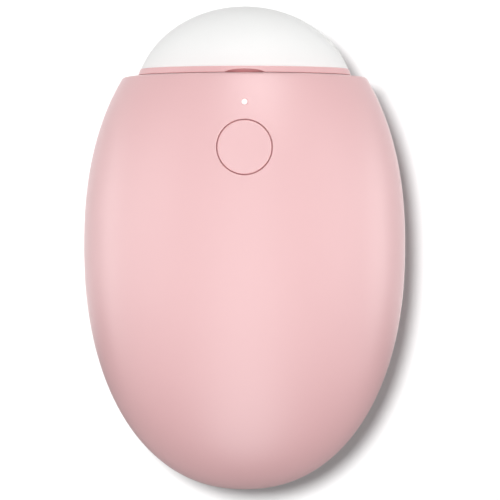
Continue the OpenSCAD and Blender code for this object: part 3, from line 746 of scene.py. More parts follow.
@dataclass
class Housing:
    """The two pink shells, their seam, shoulder and the bores in the front.

    The rows of a shell run across it, and its columns run up from the bottom tip. A bore stands
    in a block, a square of cells that is left open for it. The seam's two shares keep its edge
    small in the short rows by the tip. A row of the shoulder is part of the seam where it is
    wider than the opening by opening_rim.
    """

    egg: Egg = field(default_factory=Egg)
    shoulder_y: float = 35.0
    shoulder_t: float = 2.0
    shoulder_r: float = 1.0
    opening_w: float = 20.6
    opening_d: float = 8.2
    opening_edge: float = 0.25
    opening_rim: float = 1.0
    shoulder_crown: float = 0.35
    seam_gap: float = 0.03
    seam_edge: float = 0.22
    seam_inset: float = 0.14
    seam_share: float = 0.15
    seam_inset_share: float = 0.05
    seam_end_w: float = 1.0
    fine_edge: float = 0.15
    button_y: float = 20.0
    button_radius: float = 5.4
    button_gap: float = 0.2
    bore_edge: float = 0.14
    sleeve_t: float = 1.1
    sleeve_l: float = 0.5
    light_y: float = 29.1
    light_radius: float = 0.6
    light_bore_edge: float = 0.1
    light_sleeve_radius: float = 2.0
    block: float = 7.0
    light_block: float = 2.1
    near_columns: tuple[float, ...] = (0.7, 1.4)
    far_columns: tuple[float, ...] = (2.9, 3.8, 4.8, 5.9)
    side_columns: int = 26
    lower_rows: int = 44
    rows_under_button: int = 7
    rows_at_button: int = 16
    rows_at_light: int = 6
    shoulder_approach: tuple[float, ...] = (32.2, 33.1)
    shoulder_steps: int = 7
    crown_shares: tuple[float, ...] = (0.2, 0.4, 0.6, 0.8, 1.0)
    bore_shares: tuple[float, ...] = (0.3, 0.6, 0.85, 1.0)
    edge_steps: int = 3

    @property
    def sleeve_end(self) -> float:
        """Return the height of the inner end of the button's sleeve."""
        reach = self.button_radius + self.sleeve_t
        return self.egg.front(reach, self.button_y + reach, self.egg.wall) - self.sleeve_l

    @property
    def light_sleeve_end(self) -> float:
        """Return the height of the inner end of the indicator's sleeve."""
        reach = self.light_sleeve_radius
        return self.egg.front(reach, self.light_y + reach, self.egg.wall) - self.sleeve_l

    def holes(self) -> list[Hole]:
        """Return the button's bore and the indicator's."""
        bore = self.button_radius + self.button_gap
        return [Hole(self.button_y, bore, self.bore_edge, bore + self.sleeve_t,
                     self.sleeve_end),
                Hole(self.light_y, self.light_radius, self.light_bore_edge,
                     self.light_sleeve_radius, self.light_sleeve_end)]

    def centre_lines(self) -> list[float]:
        """Return the x of the columns that run straight past the bores, from right to left."""
        half = [*self.near_columns, self.light_block, *self.far_columns, self.block]
        return half[::-1] + [0.0] + [-x for x in half]

    def stations(self, inset: float) -> list[tuple[float, float]]:
        """Place the rows, from the bottom tip to just under the shoulder.

        Args:
            inset: 0 for the outside, or the wall for the inside.

        Returns:
            Pairs of y and half the width there.
        """
        rows = [self.egg.lower_point(-90 + 90 * k / self.lower_rows, inset)
                for k in range(self.lower_rows)]
        start, end = self.button_y - self.block, self.button_y + self.block
        top = self.light_y + self.light_block
        spans = [(self.egg.widest_y, start, self.rows_under_button),
                 (start, end, self.rows_at_button), (end, top, self.rows_at_light)]
        heights = [low + (high - low) * k / count for low, high, count in spans
                   for k in range(count)] + [top]
        return rows + [(y, self.egg.half_width(y, inset)) for y in heights]

    def body_row(self, y: float, half_w: float, inset: float) -> list[tuple[float, float]]:
        """Return one row's points as x and the distance from the seam plane.

        Args:
            y: the row's height along the body.
            half_w: half the width there.
            inset: 0 for the outside, or the wall for the inside.

        Returns:
            Pairs from the right seam round to the left seam.
        """
        flat = self.egg.flatness(inset)
        start = self.button_y - self.block
        share = 1.0 if y >= start else half_w / self.egg.half_width(start, inset)
        centre = [(x * share, flat * sqrt(max(0.0, half_w ** 2 - (x * share) ** 2)))
                  for x in self.centre_lines()]
        if half_w <= 0:
            return [(0.0, 0.0)] * (2 * (self.side_columns + 1) + len(centre))
        last = acos(min(1.0, self.block * share / half_w))
        first = min(asin(min(1.0, self.seam_edge / (flat * half_w))), self.seam_share * last)
        turns = [first + (last - first) * k / self.side_columns
                 for k in range(self.side_columns)]
        rim = min(self.seam_inset if inset == 0 else 0.0, self.seam_inset_share * half_w)
        right = [(half_w - rim, self.seam_gap if half_w > self.seam_end_w else 0.0)]
        right += [(half_w * cos(a), flat * half_w * sin(a)) for a in turns]
        return right + centre + [(-x, lift) for x, lift in reversed(right)]

    def shoulder_rows(self) -> list[tuple[float, float, float]]:
        """Place the rows over the shoulder, into the cap's opening and back to the inside.

        Returns:
            The y, half the width and half the depth of each row.
        """
        egg, r, top = self.egg, self.shoulder_r, self.shoulder_y
        flat = egg.flatness()
        lean = atan((egg.half_width(top - r) - egg.half_width(top)) / r)
        start_y = top - r * (1 - sin(lean))
        centre = egg.half_width(start_y) - r * cos(lean)
        rows = [(y, egg.half_width(y), flat * egg.half_width(y))
                for y in (*self.shoulder_approach, start_y - self.fine_edge)]
        for k in range(self.shoulder_steps + 1):
            a = lean + (pi / 2 - lean) * k / self.shoulder_steps
            w = centre + r * cos(a)
            rows.append((top - r + r * sin(a), w, flat * w))
        edge, ow, od = self.opening_edge, self.opening_w, self.opening_d
        crest = top + self.shoulder_crown
        for share in self.crown_shares:
            rows.append((top + self.shoulder_crown * sin(pi / 2 * share),
                         centre + (ow + edge - centre) * share,
                         flat * centre + (od + edge - flat * centre) * share))
        for sine, cosine in quarter(self.edge_steps, 1):
            rows.append((crest - edge * (1 - cosine), ow + edge * (1 - sine),
                         od + edge * (1 - sine)))
        low, fine = top - self.shoulder_t, self.fine_edge
        rows += [(low + fine, ow, od), (low, ow + fine, od + fine)]
        inner_w, inner_d = egg.half_width(low, egg.wall), egg.half_depth(0, low, egg.wall)
        rows += [(low, ow + (inner_w - ow) * 0.5, od + (inner_d - od) * 0.5),
                 (low, inner_w, inner_d)]
        return rows

    def draw_half(self, side: Side) -> Draft:
        """Draw one shell as a closed mesh.

        Args:
            side: the front or the back shell.

        Returns:
            The drawn mesh.
        """
        draft, egg = Draft(), self.egg
        sign, mid = side.value, egg.middle

        def lay(y: float, pairs: Pairs) -> list[int]:
            """Add one row at a height along the body."""
            return draft.row([(x, y, max(0.0, mid + sign * lift)) for x, lift in pairs])

        outer_pairs = [self.body_row(y, w, 0.0) for y, w in self.stations(0.0)]
        outer = [lay(y, pairs) for (y, _), pairs in zip(self.stations(0.0), outer_pairs)]
        inner = [lay(y, self.body_row(y, w, egg.wall)) for y, w in self.stations(egg.wall)]
        flat = egg.flatness()
        turns = [atan2(lift / flat, x) for x, lift in outer_pairs[-1]]
        last = len(turns) - 1

        def round_row(y: float, half_w: float, half_d: float) -> list[int]:
            """Add one oval row of the shoulder.

            Args:
                y: its height along the body.
                half_w: half its width.
                half_d: half its depth.

            Returns:
                The numbers of its points.
            """
            pairs = [(half_w * cos(a), half_d * sin(a)) for a in turns]
            rim = self.seam_inset if half_w > self.opening_w + self.opening_rim else 0.0
            pairs[0] = (half_w - rim, self.seam_gap)
            pairs[last] = (-half_w + rim, self.seam_gap)
            return lay(y, pairs)

        over = [round_row(*row) for row in self.shoulder_rows()]
        grids = self._open_cells(side)
        for rows in (outer, inner):
            for j, (low, high) in enumerate(zip(rows, rows[1:])):
                spans = [cols for row_span, cols in grids if row_span[0] <= j < row_span[1]]
                draft.bridge(low, high, skip=lambda i, s=spans: any(a <= i < b for a, b in s))
        draft.loft([outer[-1], *over, inner[-1]], closed=False)
        for column in (0, last):
            for j in range(len(outer) - 1):
                draft.faces.append([outer[j][column], outer[j + 1][column],
                                    inner[j + 1][column], inner[j][column]])
            draft.cap([outer[-1][column], *(row[column] for row in over), inner[-1][column]])
        if side is Side.FRONT:
            for hole, (row_span, cols) in zip(self.holes(), grids):
                self._pierce(draft, hole, outer, inner, row_span, cols)
        return draft

    def _open_cells(self, side: Side) -> list[tuple[tuple[int, int], tuple[int, int]]]:
        """Find the cells that stay open for the bores.

        Args:
            side: the shell, of which only the front one has bores.

        Returns:
            The first and last row, and the first and last column, at each bore.
        """
        if side is Side.BACK:
            return []
        lines = self.centre_lines()
        column = self.side_columns + 1
        first = self.lower_rows + self.rows_under_button
        second = first + self.rows_at_button
        small = (column + lines.index(self.light_block), column + lines.index(-self.light_block))
        return [((first, second), (column, column + len(lines) - 1)),
                ((second, second + self.rows_at_light), small)]

    def _pierce(self, draft: Draft, hole: Hole, outer: Rows, inner: Rows,
                rows: tuple[int, int], cols: tuple[int, int]) -> None:
        """Fill the open cells round a hole and run its sleeve through the wall.

        Args:
            draft: the shell's mesh.
            hole: the hole.
            outer: the outside rows.
            inner: the inside rows.
            rows: first and last row of the open cells.
            cols: first and last column of the open cells.
        """
        def rim(grid: Rows) -> list[int]:
            """Return the loop of points round the open cells, from the lower left."""
            (r0, r1), (c0, c1) = rows, cols
            return ([grid[r0][c] for c in range(c1, c0, -1)]
                    + [grid[r][c0] for r in range(r0, r1)]
                    + [grid[r1][c] for c in range(c0, c1)]
                    + [grid[r][c1] for r in range(r1, r0, -1)])

        def morph(loop: list[int], radius: float, inset: float) -> Rows:
            """Turn a square loop into a circle, row by row.

            Args:
                loop: the square loop.
                radius: the circle's.
                inset: how far the surface lies under the outside.

            Returns:
                The rows, of which the square loop is the first.
            """
            ring = hole.loop(len(loop), radius, lambda x, y: 0.0)
            made = [loop]
            for share in self.bore_shares:
                points = []
                for index, (cx, cy, _) in zip(loop, ring):
                    sx, sy, _ = draft.points[index]
                    x, y = sx + (cx - sx) * share, sy + (cy - sy) * share
                    points.append((x, y, self.egg.front(x, y, inset)))
                made.append(draft.row(points))
            return made

        outside = morph(rim(outer), hole.radius + hole.edge, 0.0)
        count = len(outside[0])
        through = [draft.row(hole.loop(
            count, hole.radius + hole.edge * (1 - sine),
            lambda x, y, drop=hole.edge * (1 - cosine): self.egg.front(x, y) - drop))
            for sine, cosine in quarter(self.edge_steps, 1)]
        through += [draft.row(hole.loop(count, radius, lambda x, y: hole.sleeve_end))
                    for radius in (hole.radius, hole.sleeve_radius)]
        inside = morph(rim(inner), hole.sleeve_radius, self.egg.wall)
        draft.loft([*outside, *through, *reversed(inside)])

    def build(self) -> None:
        """Build both shells."""
        for side, name, node in ((Side.FRONT, "shell_front", "front_shell"),
                                 (Side.BACK, "shell_back", "back_shell")):
            self.draw_half(side).build(name, SATIN_PINK, Body.HOUSING, stands_for=[node])


@dataclass
class ShellFittings:
    """What stands on the inside of the shells: deck ribs, snap tabs and screw posts.

    A snap tab's profile is measured from a line that lies tab_reach inside the wall, and from the
    seam. A post's foot is measured from its root in the wall, whose height is read post_out
    beyond the post, and its head is measured from its top.
    """

    housing: Housing
    deck_room: float = 1.3
    rib_x: float = 10.0
    rib_w: float = 5.0
    rib_t: float = 1.2
    rib_drop: float = 2.6
    rib_root: float = 0.3
    rib_edge: float = 0.2
    tab_places: tuple[float, ...] = (-22.0, 11.0)
    tab_w: float = 3.0
    tab_reach: float = 1.3
    tab_profile: Pairs = (
        (-1.0, 3.0), (-1.0, -4.4), (-0.8, -4.6), (-0.1, -4.6), (0.8, -3.45), (0.8, -3.4),
        (0.0, -3.35), (0.0, 0.2), (1.2, 0.2), (1.4, 0.4), (1.4, 2.8), (1.2, 3.0))
    board_posts: tuple[float, Sequence[float], float] = (20.3, (17.5, 28.0), 21.45)
    tray_posts: tuple[float, Sequence[float], float] = (24.2, (-14.1, 5.9), 14.1)
    post_root: float = 0.6
    post_out: float = 1.0
    post_steps: int = 32
    post_foot: Pairs = ((2.6, 0.0), (2.3, 0.7), (2.2, 1.4))
    post_head: Pairs = ((2.2, -0.2), (2.0, 0.0), (1.0, 0.0), (0.85, -0.3), (0.85, -4.0))

    def draw_ribs(self, side: Side) -> Draft:
        """Draw the two ribs that trap the top deck under the shoulder.

        Args:
            side: the shell that they stand on.

        Returns:
            The drawn mesh.
        """
        draft, house, egg = Draft(), self.housing, self.housing.egg
        x, half_w = self.rib_x, self.rib_w / 2
        top = house.shoulder_y - house.shoulder_t - self.deck_room
        reach = egg.half_depth(x + half_w, top, egg.wall)
        low, high = sorted((side.value * (reach - self.rib_drop),
                            side.value * (reach + self.rib_root)))
        for sx in (-1, 1):
            draft.block((sx * x - half_w, top - self.rib_t, egg.middle + low),
                        (sx * x + half_w, top, egg.middle + high), self.rib_edge)
        return draft

    def draw_snap_tabs(self) -> Draft:
        """Draw the four barbed tabs that hold the shells together.

        Returns:
            The drawn mesh.
        """
        draft, egg, half_w = Draft(), self.housing.egg, self.tab_w / 2
        for y in self.tab_places:
            x = min(egg.half_width(y - half_w, egg.wall),
                    egg.half_width(y + half_w, egg.wall)) - self.tab_reach
            for sx in (-1, 1):
                rows = [draft.row([(sx * (x + dx), y + dy, egg.middle + dz)
                                   for dx, dz in self.tab_profile]) for dy in (-half_w, half_w)]
                draft.loft(rows)
                draft.cap(rows[0])
                draft.cap(rows[1][::-1])
        return draft

    def draw_posts(self) -> Draft:
        """Draw the back shell's screw posts for the board and the battery tray.

        Returns:
            The drawn mesh.
        """
        draft, egg = Draft(), self.housing.egg
        places = [(sx * x, y, top) for x, ys, top in (self.board_posts, self.tray_posts)
                  for sx in (-1, 1) for y in ys]
        for x, y, top in places:
            wall_z = egg.middle - egg.half_depth(abs(x) + self.post_out, y, egg.wall)
            foot = max(self.post_root, wall_z - self.post_root)
            draft.turned(x, y, [(r, foot + rise) for r, rise in self.post_foot]
                         + [(r, top + rise) for r, rise in self.post_head], self.post_steps)
        return draft

    def build(self) -> None:
        """Build the ribs, tabs and posts."""
        for draft, name in ((self.draw_ribs(Side.FRONT), "front_deck_ribs"),
                            (self.draw_ribs(Side.BACK), "back_deck_ribs"),
                            (self.draw_snap_tabs(), "snap_tabs"),
                            (self.draw_posts(), "screw_posts")):
            draft.build(name, SATIN_PINK, Body.HOUSING)


# The lamp cap

@dataclass
class LampCap:
    """The pull-off cap: a pink ring with a fingernail notch and a frosted dome."""

    middle: float = 18.6
    base_y: float = 35.42
    ring_h: float = 1.28
    ring_w: float = 21.9
    ring_d: float = 9.8
    taper: float = 0.4
    edge: float = 0.2
    lower_edge: float = 0.2
    skirt_w: float = 20.3
    skirt_d: float = 7.9
    skirt_t: float = 1.2
    skirt_end: float = 33.3
    ledge_h: float = 0.58
    seat_gap: float = 0.1
    skirt_lead: float = 0.3
    skirt_lip: float = 0.2
    notch_w: float = 3.92
    notch_h: float = 0.76
    notch_d: float = 1.1
    notch_reach: float = 4.3
    scoop_share: float = 0.3
    dome_centre: float = 30.4
    dome_w: float = 22.555
    dome_rise: float = 19.2
    dome_d: float = 10.093
    dome_t: float = 1.4
    dome_edge: float = 0.12
    dome_edge_d: float = 0.1
    steps: int = 320
    notch_steps: int = 72
    lower_steps: int = 5
    top_steps: int = 4
    dome_steps: int = 32

    @property
    def top_y(self) -> float:
        """Return the y of the ring's top."""
        return self.base_y + self.ring_h

    @property
    def seat_y(self) -> float:
        """Return the y of the ledge that the dome sits on."""
        return self.base_y + self.ledge_h

    @property
    def throat(self) -> tuple[float, float]:
        """Return half the width and half the depth inside the skirt."""
        return self.skirt_w - self.skirt_t, self.skirt_d - self.skirt_t

    def turns(self) -> list[float]:
        """Space the columns round the cap, closer together at the notch.

        Returns:
            Their angles.
        """
        reach = asin(self.notch_reach / self.ring_w)
        wide = 2 * pi - 2 * reach
        start = pi / 2 + reach
        far = [start + wide * k / self.steps for k in range(self.steps)]
        near = [pi / 2 - reach + 2 * reach * k / self.notch_steps
                for k in range(self.notch_steps)]
        return far + near

    def oval(self, draft: Draft, half_w: float, half_d: float, y: float) -> list[int]:
        """Add an oval loop round the cap."""
        return draft.row([(half_w * cos(a), y, self.middle + half_d * sin(a))
                          for a in self.turns()])

    def notch_height(self, x: float) -> float:
        """Return how high the notch reaches above the ring's lower edge at a place."""
        return self.notch_h * sqrt(max(0.0, 1 - (x / self.notch_w) ** 2))

    def lower_rows(self, draft: Draft) -> Rows:
        """Add the rows of the ring's rounded lower edge, which the notch scoops away.

        Args:
            draft: the ring's mesh.

        Returns:
            The rows, from the underside to the outside.
        """
        rows = []
        for k in range(self.lower_steps + 1):
            share = k / self.lower_steps
            points = []
            for a in self.turns():
                rise = self.notch_height(self.ring_w * cos(a)) if sin(a) > 0 else 0.0
                depth = self.notch_d * min(1.0, rise / (self.scoop_share * self.notch_h))
                up = max(rise * share, self.lower_edge * (1 - cos(pi / 2 * share)))
                inward = max(depth * (1 - share), self.lower_edge * (1 - sin(pi / 2 * share)))
                half_w = self.ring_w - self.taper * up / self.ring_h
                half_d = half_w * self.ring_d / self.ring_w
                across = sqrt((half_d * cos(a)) ** 2 + (half_w * sin(a)) ** 2)
                points.append((half_w * cos(a) - inward * half_d * cos(a) / across,
                               self.base_y + up,
                               self.middle + half_d * sin(a)
                               - inward * half_w * sin(a) / across))
            rows.append(draft.row(points))
        return rows

    def draw_ring(self) -> Draft:
        """Draw the ring with its skirt, its seat for the dome and its notch.

        Returns:
            The drawn mesh.
        """
        draft = Draft()
        ratio = self.ring_d / self.ring_w
        in_w, in_d = self.throat
        skirt_w, skirt_d, end = self.skirt_w, self.skirt_d, self.skirt_end
        lip, lead = self.skirt_lip, self.skirt_lead
        rows = [self.oval(draft, in_w, in_d, end + lip),
                self.oval(draft, in_w + lip, in_d + lip, end),
                self.oval(draft, skirt_w - lead, skirt_d - lead, end),
                self.oval(draft, skirt_w, skirt_d, end + lead),
                self.oval(draft, skirt_w, skirt_d, self.base_y), *self.lower_rows(draft)]
        for sine, cosine in quarter(self.top_steps):
            inward = self.taper + self.edge * (1 - cosine)
            rows.append(self.oval(draft, self.ring_w - inward, self.ring_d - inward * ratio,
                                  self.top_y - self.edge + self.edge * sine))
        seat_w, seat_d = skirt_w + self.seat_gap, skirt_d + self.seat_gap
        rows += [self.oval(draft, seat_w, seat_d, self.top_y),
                 self.oval(draft, seat_w, seat_d, self.seat_y),
                 self.oval(draft, in_w, in_d, self.seat_y)]
        draft.loft(rows, ring=True)
        return draft

    def draw_dome(self) -> Draft:
        """Draw the frosted dome with its hollow and the plug that seats in the ring.

        Returns:
            The drawn mesh.
        """
        draft, top, seat = Draft(), self.top_y, self.seat_y
        low = asin((top - self.dome_centre) / self.dome_rise)

        def shell(inset: float, start: float) -> Rows:
            """Draw one side of the dome's wall.

            Args:
                inset: how far it lies under the outside.
                start: the y of its lowest row.

            Returns:
                The rows, from the lowest to the tip.
            """
            w, d, rise = self.dome_w - inset, self.dome_d - inset, self.dome_rise - inset
            first = asin((start - self.dome_centre) / rise)
            turns = [first + (pi / 2 - first) * (k / self.dome_steps)
                     for k in range(self.dome_steps + 1)]
            return [self.oval(draft, w * cos(a), d * cos(a), self.dome_centre + rise * sin(a))
                    for a in turns]

        outside = shell(0.0, top + self.dome_edge)
        inside = shell(self.dome_t, top + self.dome_t)
        foot_w, foot_d = self.dome_w * cos(low), self.dome_d * cos(low)
        in_w, in_d = self.throat
        rows = [self.oval(draft, in_w, in_d, seat),
                self.oval(draft, self.skirt_w, self.skirt_d, seat),
                self.oval(draft, self.skirt_w, self.skirt_d, top),
                self.oval(draft, foot_w - self.dome_edge, foot_d - self.dome_edge_d, top),
                *outside]
        draft.loft(rows)
        draft.loft([*reversed(inside), self.oval(draft, in_w, in_d, top + self.dome_t),
                    rows[0]])
        return draft

    def build(self) -> None:
        """Build the ring and the dome."""
        self.draw_ring().build("lamp_ring", SATIN_PINK, Body.CAP, stands_for=["cap_ring"])
        self.draw_dome().build("frosted_dome", FROSTED, Body.CAP, stands_for=["lamp_dome"])


# Button and indicator

@dataclass
class PowerButton:
    """The round power button, dished for a fingertip, with its flange and stem."""

    housing: Housing
    dish: float = 0.35
    dish_rim: float = 0.3
    edge: float = 0.16
    flange_t: float = 1.0
    flange_radius: float = 6.55
    draught: float = 0.16
    draught_h: float = 0.42
    skin_t: float = 1.4
    top_t: float = 1.6
    stem_radius: float = 1.8
    stem_out: float = 1.6
    press_gap: float = 0.05
    play: float = 0.1
    fine_edge: float = 0.1
    steps: int = 96
    edge_steps: int = 4
    face_radii: tuple[float, ...] = (0.02, 0.6, 1.2, 1.8, 2.4, 3.0, 3.5, 4.0, 4.4, 4.75, 5.0)

    def ring(self, draft: Draft, radius: float, height: Height) -> list[int]:
        """Add a loop round the button's line.

        Args:
            draft: the button's mesh.
            radius: the loop's.
            height: gives z at a place.

        Returns:
            The numbers of its points.
        """
        y0 = self.housing.button_y
        places = [(radius * cos(a), y0 + radius * sin(a)) for a in around(self.steps)]
        return draft.row([(x, y, height(x, y)) for x, y in places])

    def face(self, x: float, y: float) -> float:
        """Find the dished face.

        Args:
            x: how far to the side of the button's line the place is.
            y: how far along the body it is.

        Returns:
            The height of the face there.
        """
        chord = self.housing.button_radius - self.dish_rim
        reach = sqrt(x * x + (y - self.housing.button_y) ** 2)
        share = max(0.0, 1 - (reach / chord) ** 2)
        return self.housing.egg.front(x, y) - self.dish * share

    def draw(self) -> Draft:
        """Draw the button as one closed form.

        Returns:
            The drawn mesh.
        """
        draft, house = Draft(), self.housing
        radius, egg, fine = house.button_radius, house.egg, self.fine_edge
        flange_top = house.sleeve_end - self.play
        flange_low = flange_top - self.flange_t
        hollow = egg.front(radius, house.button_y + radius) - self.top_t
        stem_low = flange_low - self.stem_out + self.press_gap
        rows = [self.ring(draft, r, self.face) for r in (*self.face_radii, radius - self.edge)]
        rows += [self.ring(draft, radius - self.edge * (1 - sine),
                           lambda x, y, drop=self.edge * (1 - cosine): self.face(x, y) - drop)
                 for sine, cosine in quarter(self.edge_steps, 1)]
        rows.append(self.ring(draft, radius + self.draught,
                              lambda x, y: egg.front(x, y) - self.draught_h))
        inner = radius - self.skin_t
        rows += [self.ring(draft, r, lambda x, y, h=z: h) for r, z in (
            (radius + self.draught, flange_top), (self.flange_radius - fine, flange_top),
            (self.flange_radius, flange_top - fine), (self.flange_radius, flange_low),
            (inner, flange_low), (inner, hollow), (self.stem_radius, hollow),
            (self.stem_radius, stem_low + fine), (self.stem_radius - fine, stem_low))]
        draft.solid(rows)
        return draft

    def build(self) -> None:
        """Build the button."""
        self.draw().build("button_cap", SATIN_BUTTON, Body.BUTTON, sharp=50.0,
                          stands_for=["power_button"])


@dataclass
class Indicator:
    """The tiny lens above the button, a light pipe with a collar."""

    housing: Housing
    radius: float = 0.55
    foot_z: float = 23.95
    collar_radius: float = 1.6
    collar_t: float = 1.0
    crown: float = 0.12
    crown_turns: tuple[float, ...] = (0.3, 0.6, 0.9, 1.2, 1.45)
    sink: float = 0.06
    foot_edge: float = 0.08
    play: float = 0.1
    steps: int = 40

    def build(self) -> None:
        """Build the light pipe."""
        draft = Draft()
        top = self.housing.egg.front(0, self.housing.light_y) - self.sink
        collar = self.housing.light_sleeve_end - self.play
        r, foot = self.radius, self.foot_z
        profile = [(r - self.foot_edge, foot), (r, foot + self.foot_edge),
                   (r, collar - self.collar_t), (self.collar_radius, collar - self.collar_t),
                   (self.collar_radius, collar), (r, collar), (r, top - self.crown)]
        profile += [(r * cos(a), top - self.crown * (1 - sin(a))) for a in self.crown_turns]
        draft.turned(0, self.housing.light_y, profile, self.steps)
        draft.build("indicator_lens", LIGHT_LENS, Body.HOUSING, stands_for=["light_pipe"])


# Inside

@dataclass(frozen=True)
class FoamPad:
    """A foam pad between two surfaces, with round corners and soft edges."""

    name: str
    node: str
    half_w: float
    low_y: float
    high_y: float
    low: Height
    high: Height
    corner: float = 3.0
    steps: int = 96
    shares: tuple[float, ...] = (0.05, 0.35, 0.7, 0.95)
    edge_share: float = 0.12

    def edge_point(self, turn: float) -> tuple[float, float]:
        """Find a place on the outline, from the pad's centre.

        Args:
            turn: the direction from the centre.

        Returns:
            Its x and y.
        """
        x, y = cos(turn), sin(turn)
        half_l = (self.high_y - self.low_y) / 2
        reach = min((self.half_w - self.corner) / max(abs(x), TINY),
                    (half_l - self.corner) / max(abs(y), TINY))
        return x * reach + self.corner * x, y * reach + self.corner * y

    def loop(self, draft: Draft, share: float, blend: float) -> list[int]:
        """Add one loop of the pad.

        Args:
            draft: the pad's mesh.
            share: its place between the centre, 0, and the outline, 1.
            blend: its place between the underside, 0, and the top, 1.

        Returns:
            The numbers of its points.
        """
        points = []
        for turn in around(self.steps):
            x, y = self.edge_point(turn)
            x, y = x * share, (self.low_y + self.high_y) / 2 + y * share
            z0, z1 = self.low(x, y), self.high(x, y)
            points.append((x, y, z0 + (z1 - z0) * blend))
        return draft.row(points)

    def build(self) -> None:
        draft = Draft()
        levels = [(share, 0.0) for share in self.shares]
        levels += [(1.0, self.edge_share), (1.0, 1 - self.edge_share)]
        levels += [(share, 1.0) for share in reversed(self.shares)]
        draft.solid([self.loop(draft, share, blend) for share, blend in levels])
        pad = draft.build(self.name, FOAM, Body.HOUSING, stands_for=[self.node])


@dataclass
class FoamPads:
    """The foam between the cells and behind the heaters.

    The pads behind the heaters lie between a flat plate and the film, which follows the shell.
    """

    egg: Egg = field(default_factory=Egg)
    heater_half_w: float = 13.0
    heater_span: tuple[float, float] = (-21.1, 0.9)
    film_depth: float = 3.55
    front_plate_z: float = 25.9
    rear_plate_z: float = 10.3
    cell_half_w: float = 15.0
    cell_span: tuple[float, float] = (-26.1, 6.9)
    cell_pad_half_t: float = 0.3

    def film(self, x: float, y: float) -> float:
        """Return the height of the inner face of the front heater film."""
        return self.egg.front(x, y, self.film_depth)

    def build(self) -> None:
        """Build the three pads."""
        middle, half_t = self.egg.middle, self.cell_pad_half_t
        for pad in (
                FoamPad("foam_front", "foam_pad_front", self.heater_half_w, *self.heater_span,
                        lambda x, y: self.front_plate_z, self.film),
                FoamPad("foam_rear", "foam_pad_rear", self.heater_half_w, *self.heater_span,
                        lambda x, y: 2 * middle - self.film(x, y),
                        lambda x, y: self.rear_plate_z),
                FoamPad("foam_between_cells", "cell_pad", self.cell_half_w, *self.cell_span,
                        lambda x, y: middle - half_t, lambda x, y: middle + half_t)):
            pad.build()


@dataclass(frozen=True)
class InnerFinishes:
    """The finishes of the CAD pieces that are kept as they are.

    The frame already has materials named screw_steel, capacitor_tan, heater_film, sensor_glass,
    wire_red, wire_yellow and wire_white. For these names the frame's plain material is found and
    shown, and the finish that is written above under that name is not.
    """

    by_node: dict = field(default_factory=lambda: {
        "top_deck": DECK_WHITE, "lamp_window": WINDOW, "lamp_board": BOARD_GREEN,
        "lamp_led": LED_YELLOW, "main_board": BOARD_GREEN, "switch_body": MOULDED_BLACK,
        "switch_plunger": DECK_WHITE, "usb_a_shell": SOCKET_STEEL,
        "usb_a_tongue": MOULDED_BLACK, "usb_a_contacts": GOLD, "micro_usb_shell": SOCKET_STEEL,
        "micro_usb_tongue": MOULDED_BLACK, "indicator_led": LED_YELLOW,
        "charge_chip": MOULDED_BLACK, "boost_inductor": COIL, "capacitors": CAPACITOR,
        "protection_board": BOARD_GREEN, "cell_tabs": SOCKET_STEEL,
        "battery_cell_front": CELL_FOIL, "battery_cell_rear": CELL_FOIL,
        "battery_tray": DECK_WHITE, "heat_plate_front": PLATE, "heat_plate_rear": PLATE,
        "heater_film_front": FILM, "heater_film_rear": FILM, "thermistor": SENSOR,
        "thermal_fuse": DECK_WHITE, "battery_wires": WIRE_RED,
        "heater_wires_front": WIRE_YELLOW, "heater_wires_rear": WIRE_YELLOW,
        "sensor_wires": WIRE_WHITE, "board_screws": SCREW_STEEL, "tray_screws": SCREW_STEEL})

    def dress(self) -> None:
        """Give every kept CAD piece its finish."""
        for node, finish in self.by_node.items():
            piece = frame["nodes"][node]
            for slot in piece.material_slots:
                slot.material = finish.material()
            log.info("%s: finish %s", node, finish.name)


# Studio

@dataclass(frozen=True)
class Lamp:
    """A round studio lamp aimed at the object, its size in metres and its power in watts."""

    name: str
    place: Point
    size: float
    power: float
    lights: Lights = Lights.OBJECT
    aim: Point = (0.0, 0.0, 0.018)

    def build(self, targets: dict) -> None:
        """Hang the lamp.

        Args:
            targets: the collection that each choice of Lights stands for.
        """
        data = bpy.data.lights.new(self.name, "AREA")
        data.shape = "DISK"
        data.size = self.size
        data.energy = self.power
        lamp = bpy.data.objects.new(self.name, data)
        lamp.location = self.place
        toward = Vector(self.aim) - Vector(self.place)
        lamp.rotation_euler = toward.to_track_quat("-Z", "Y").to_euler()
        lamp.light_linking.receiver_collection = targets[self.lights]
        bpy.context.scene.collection.objects.link(lamp)


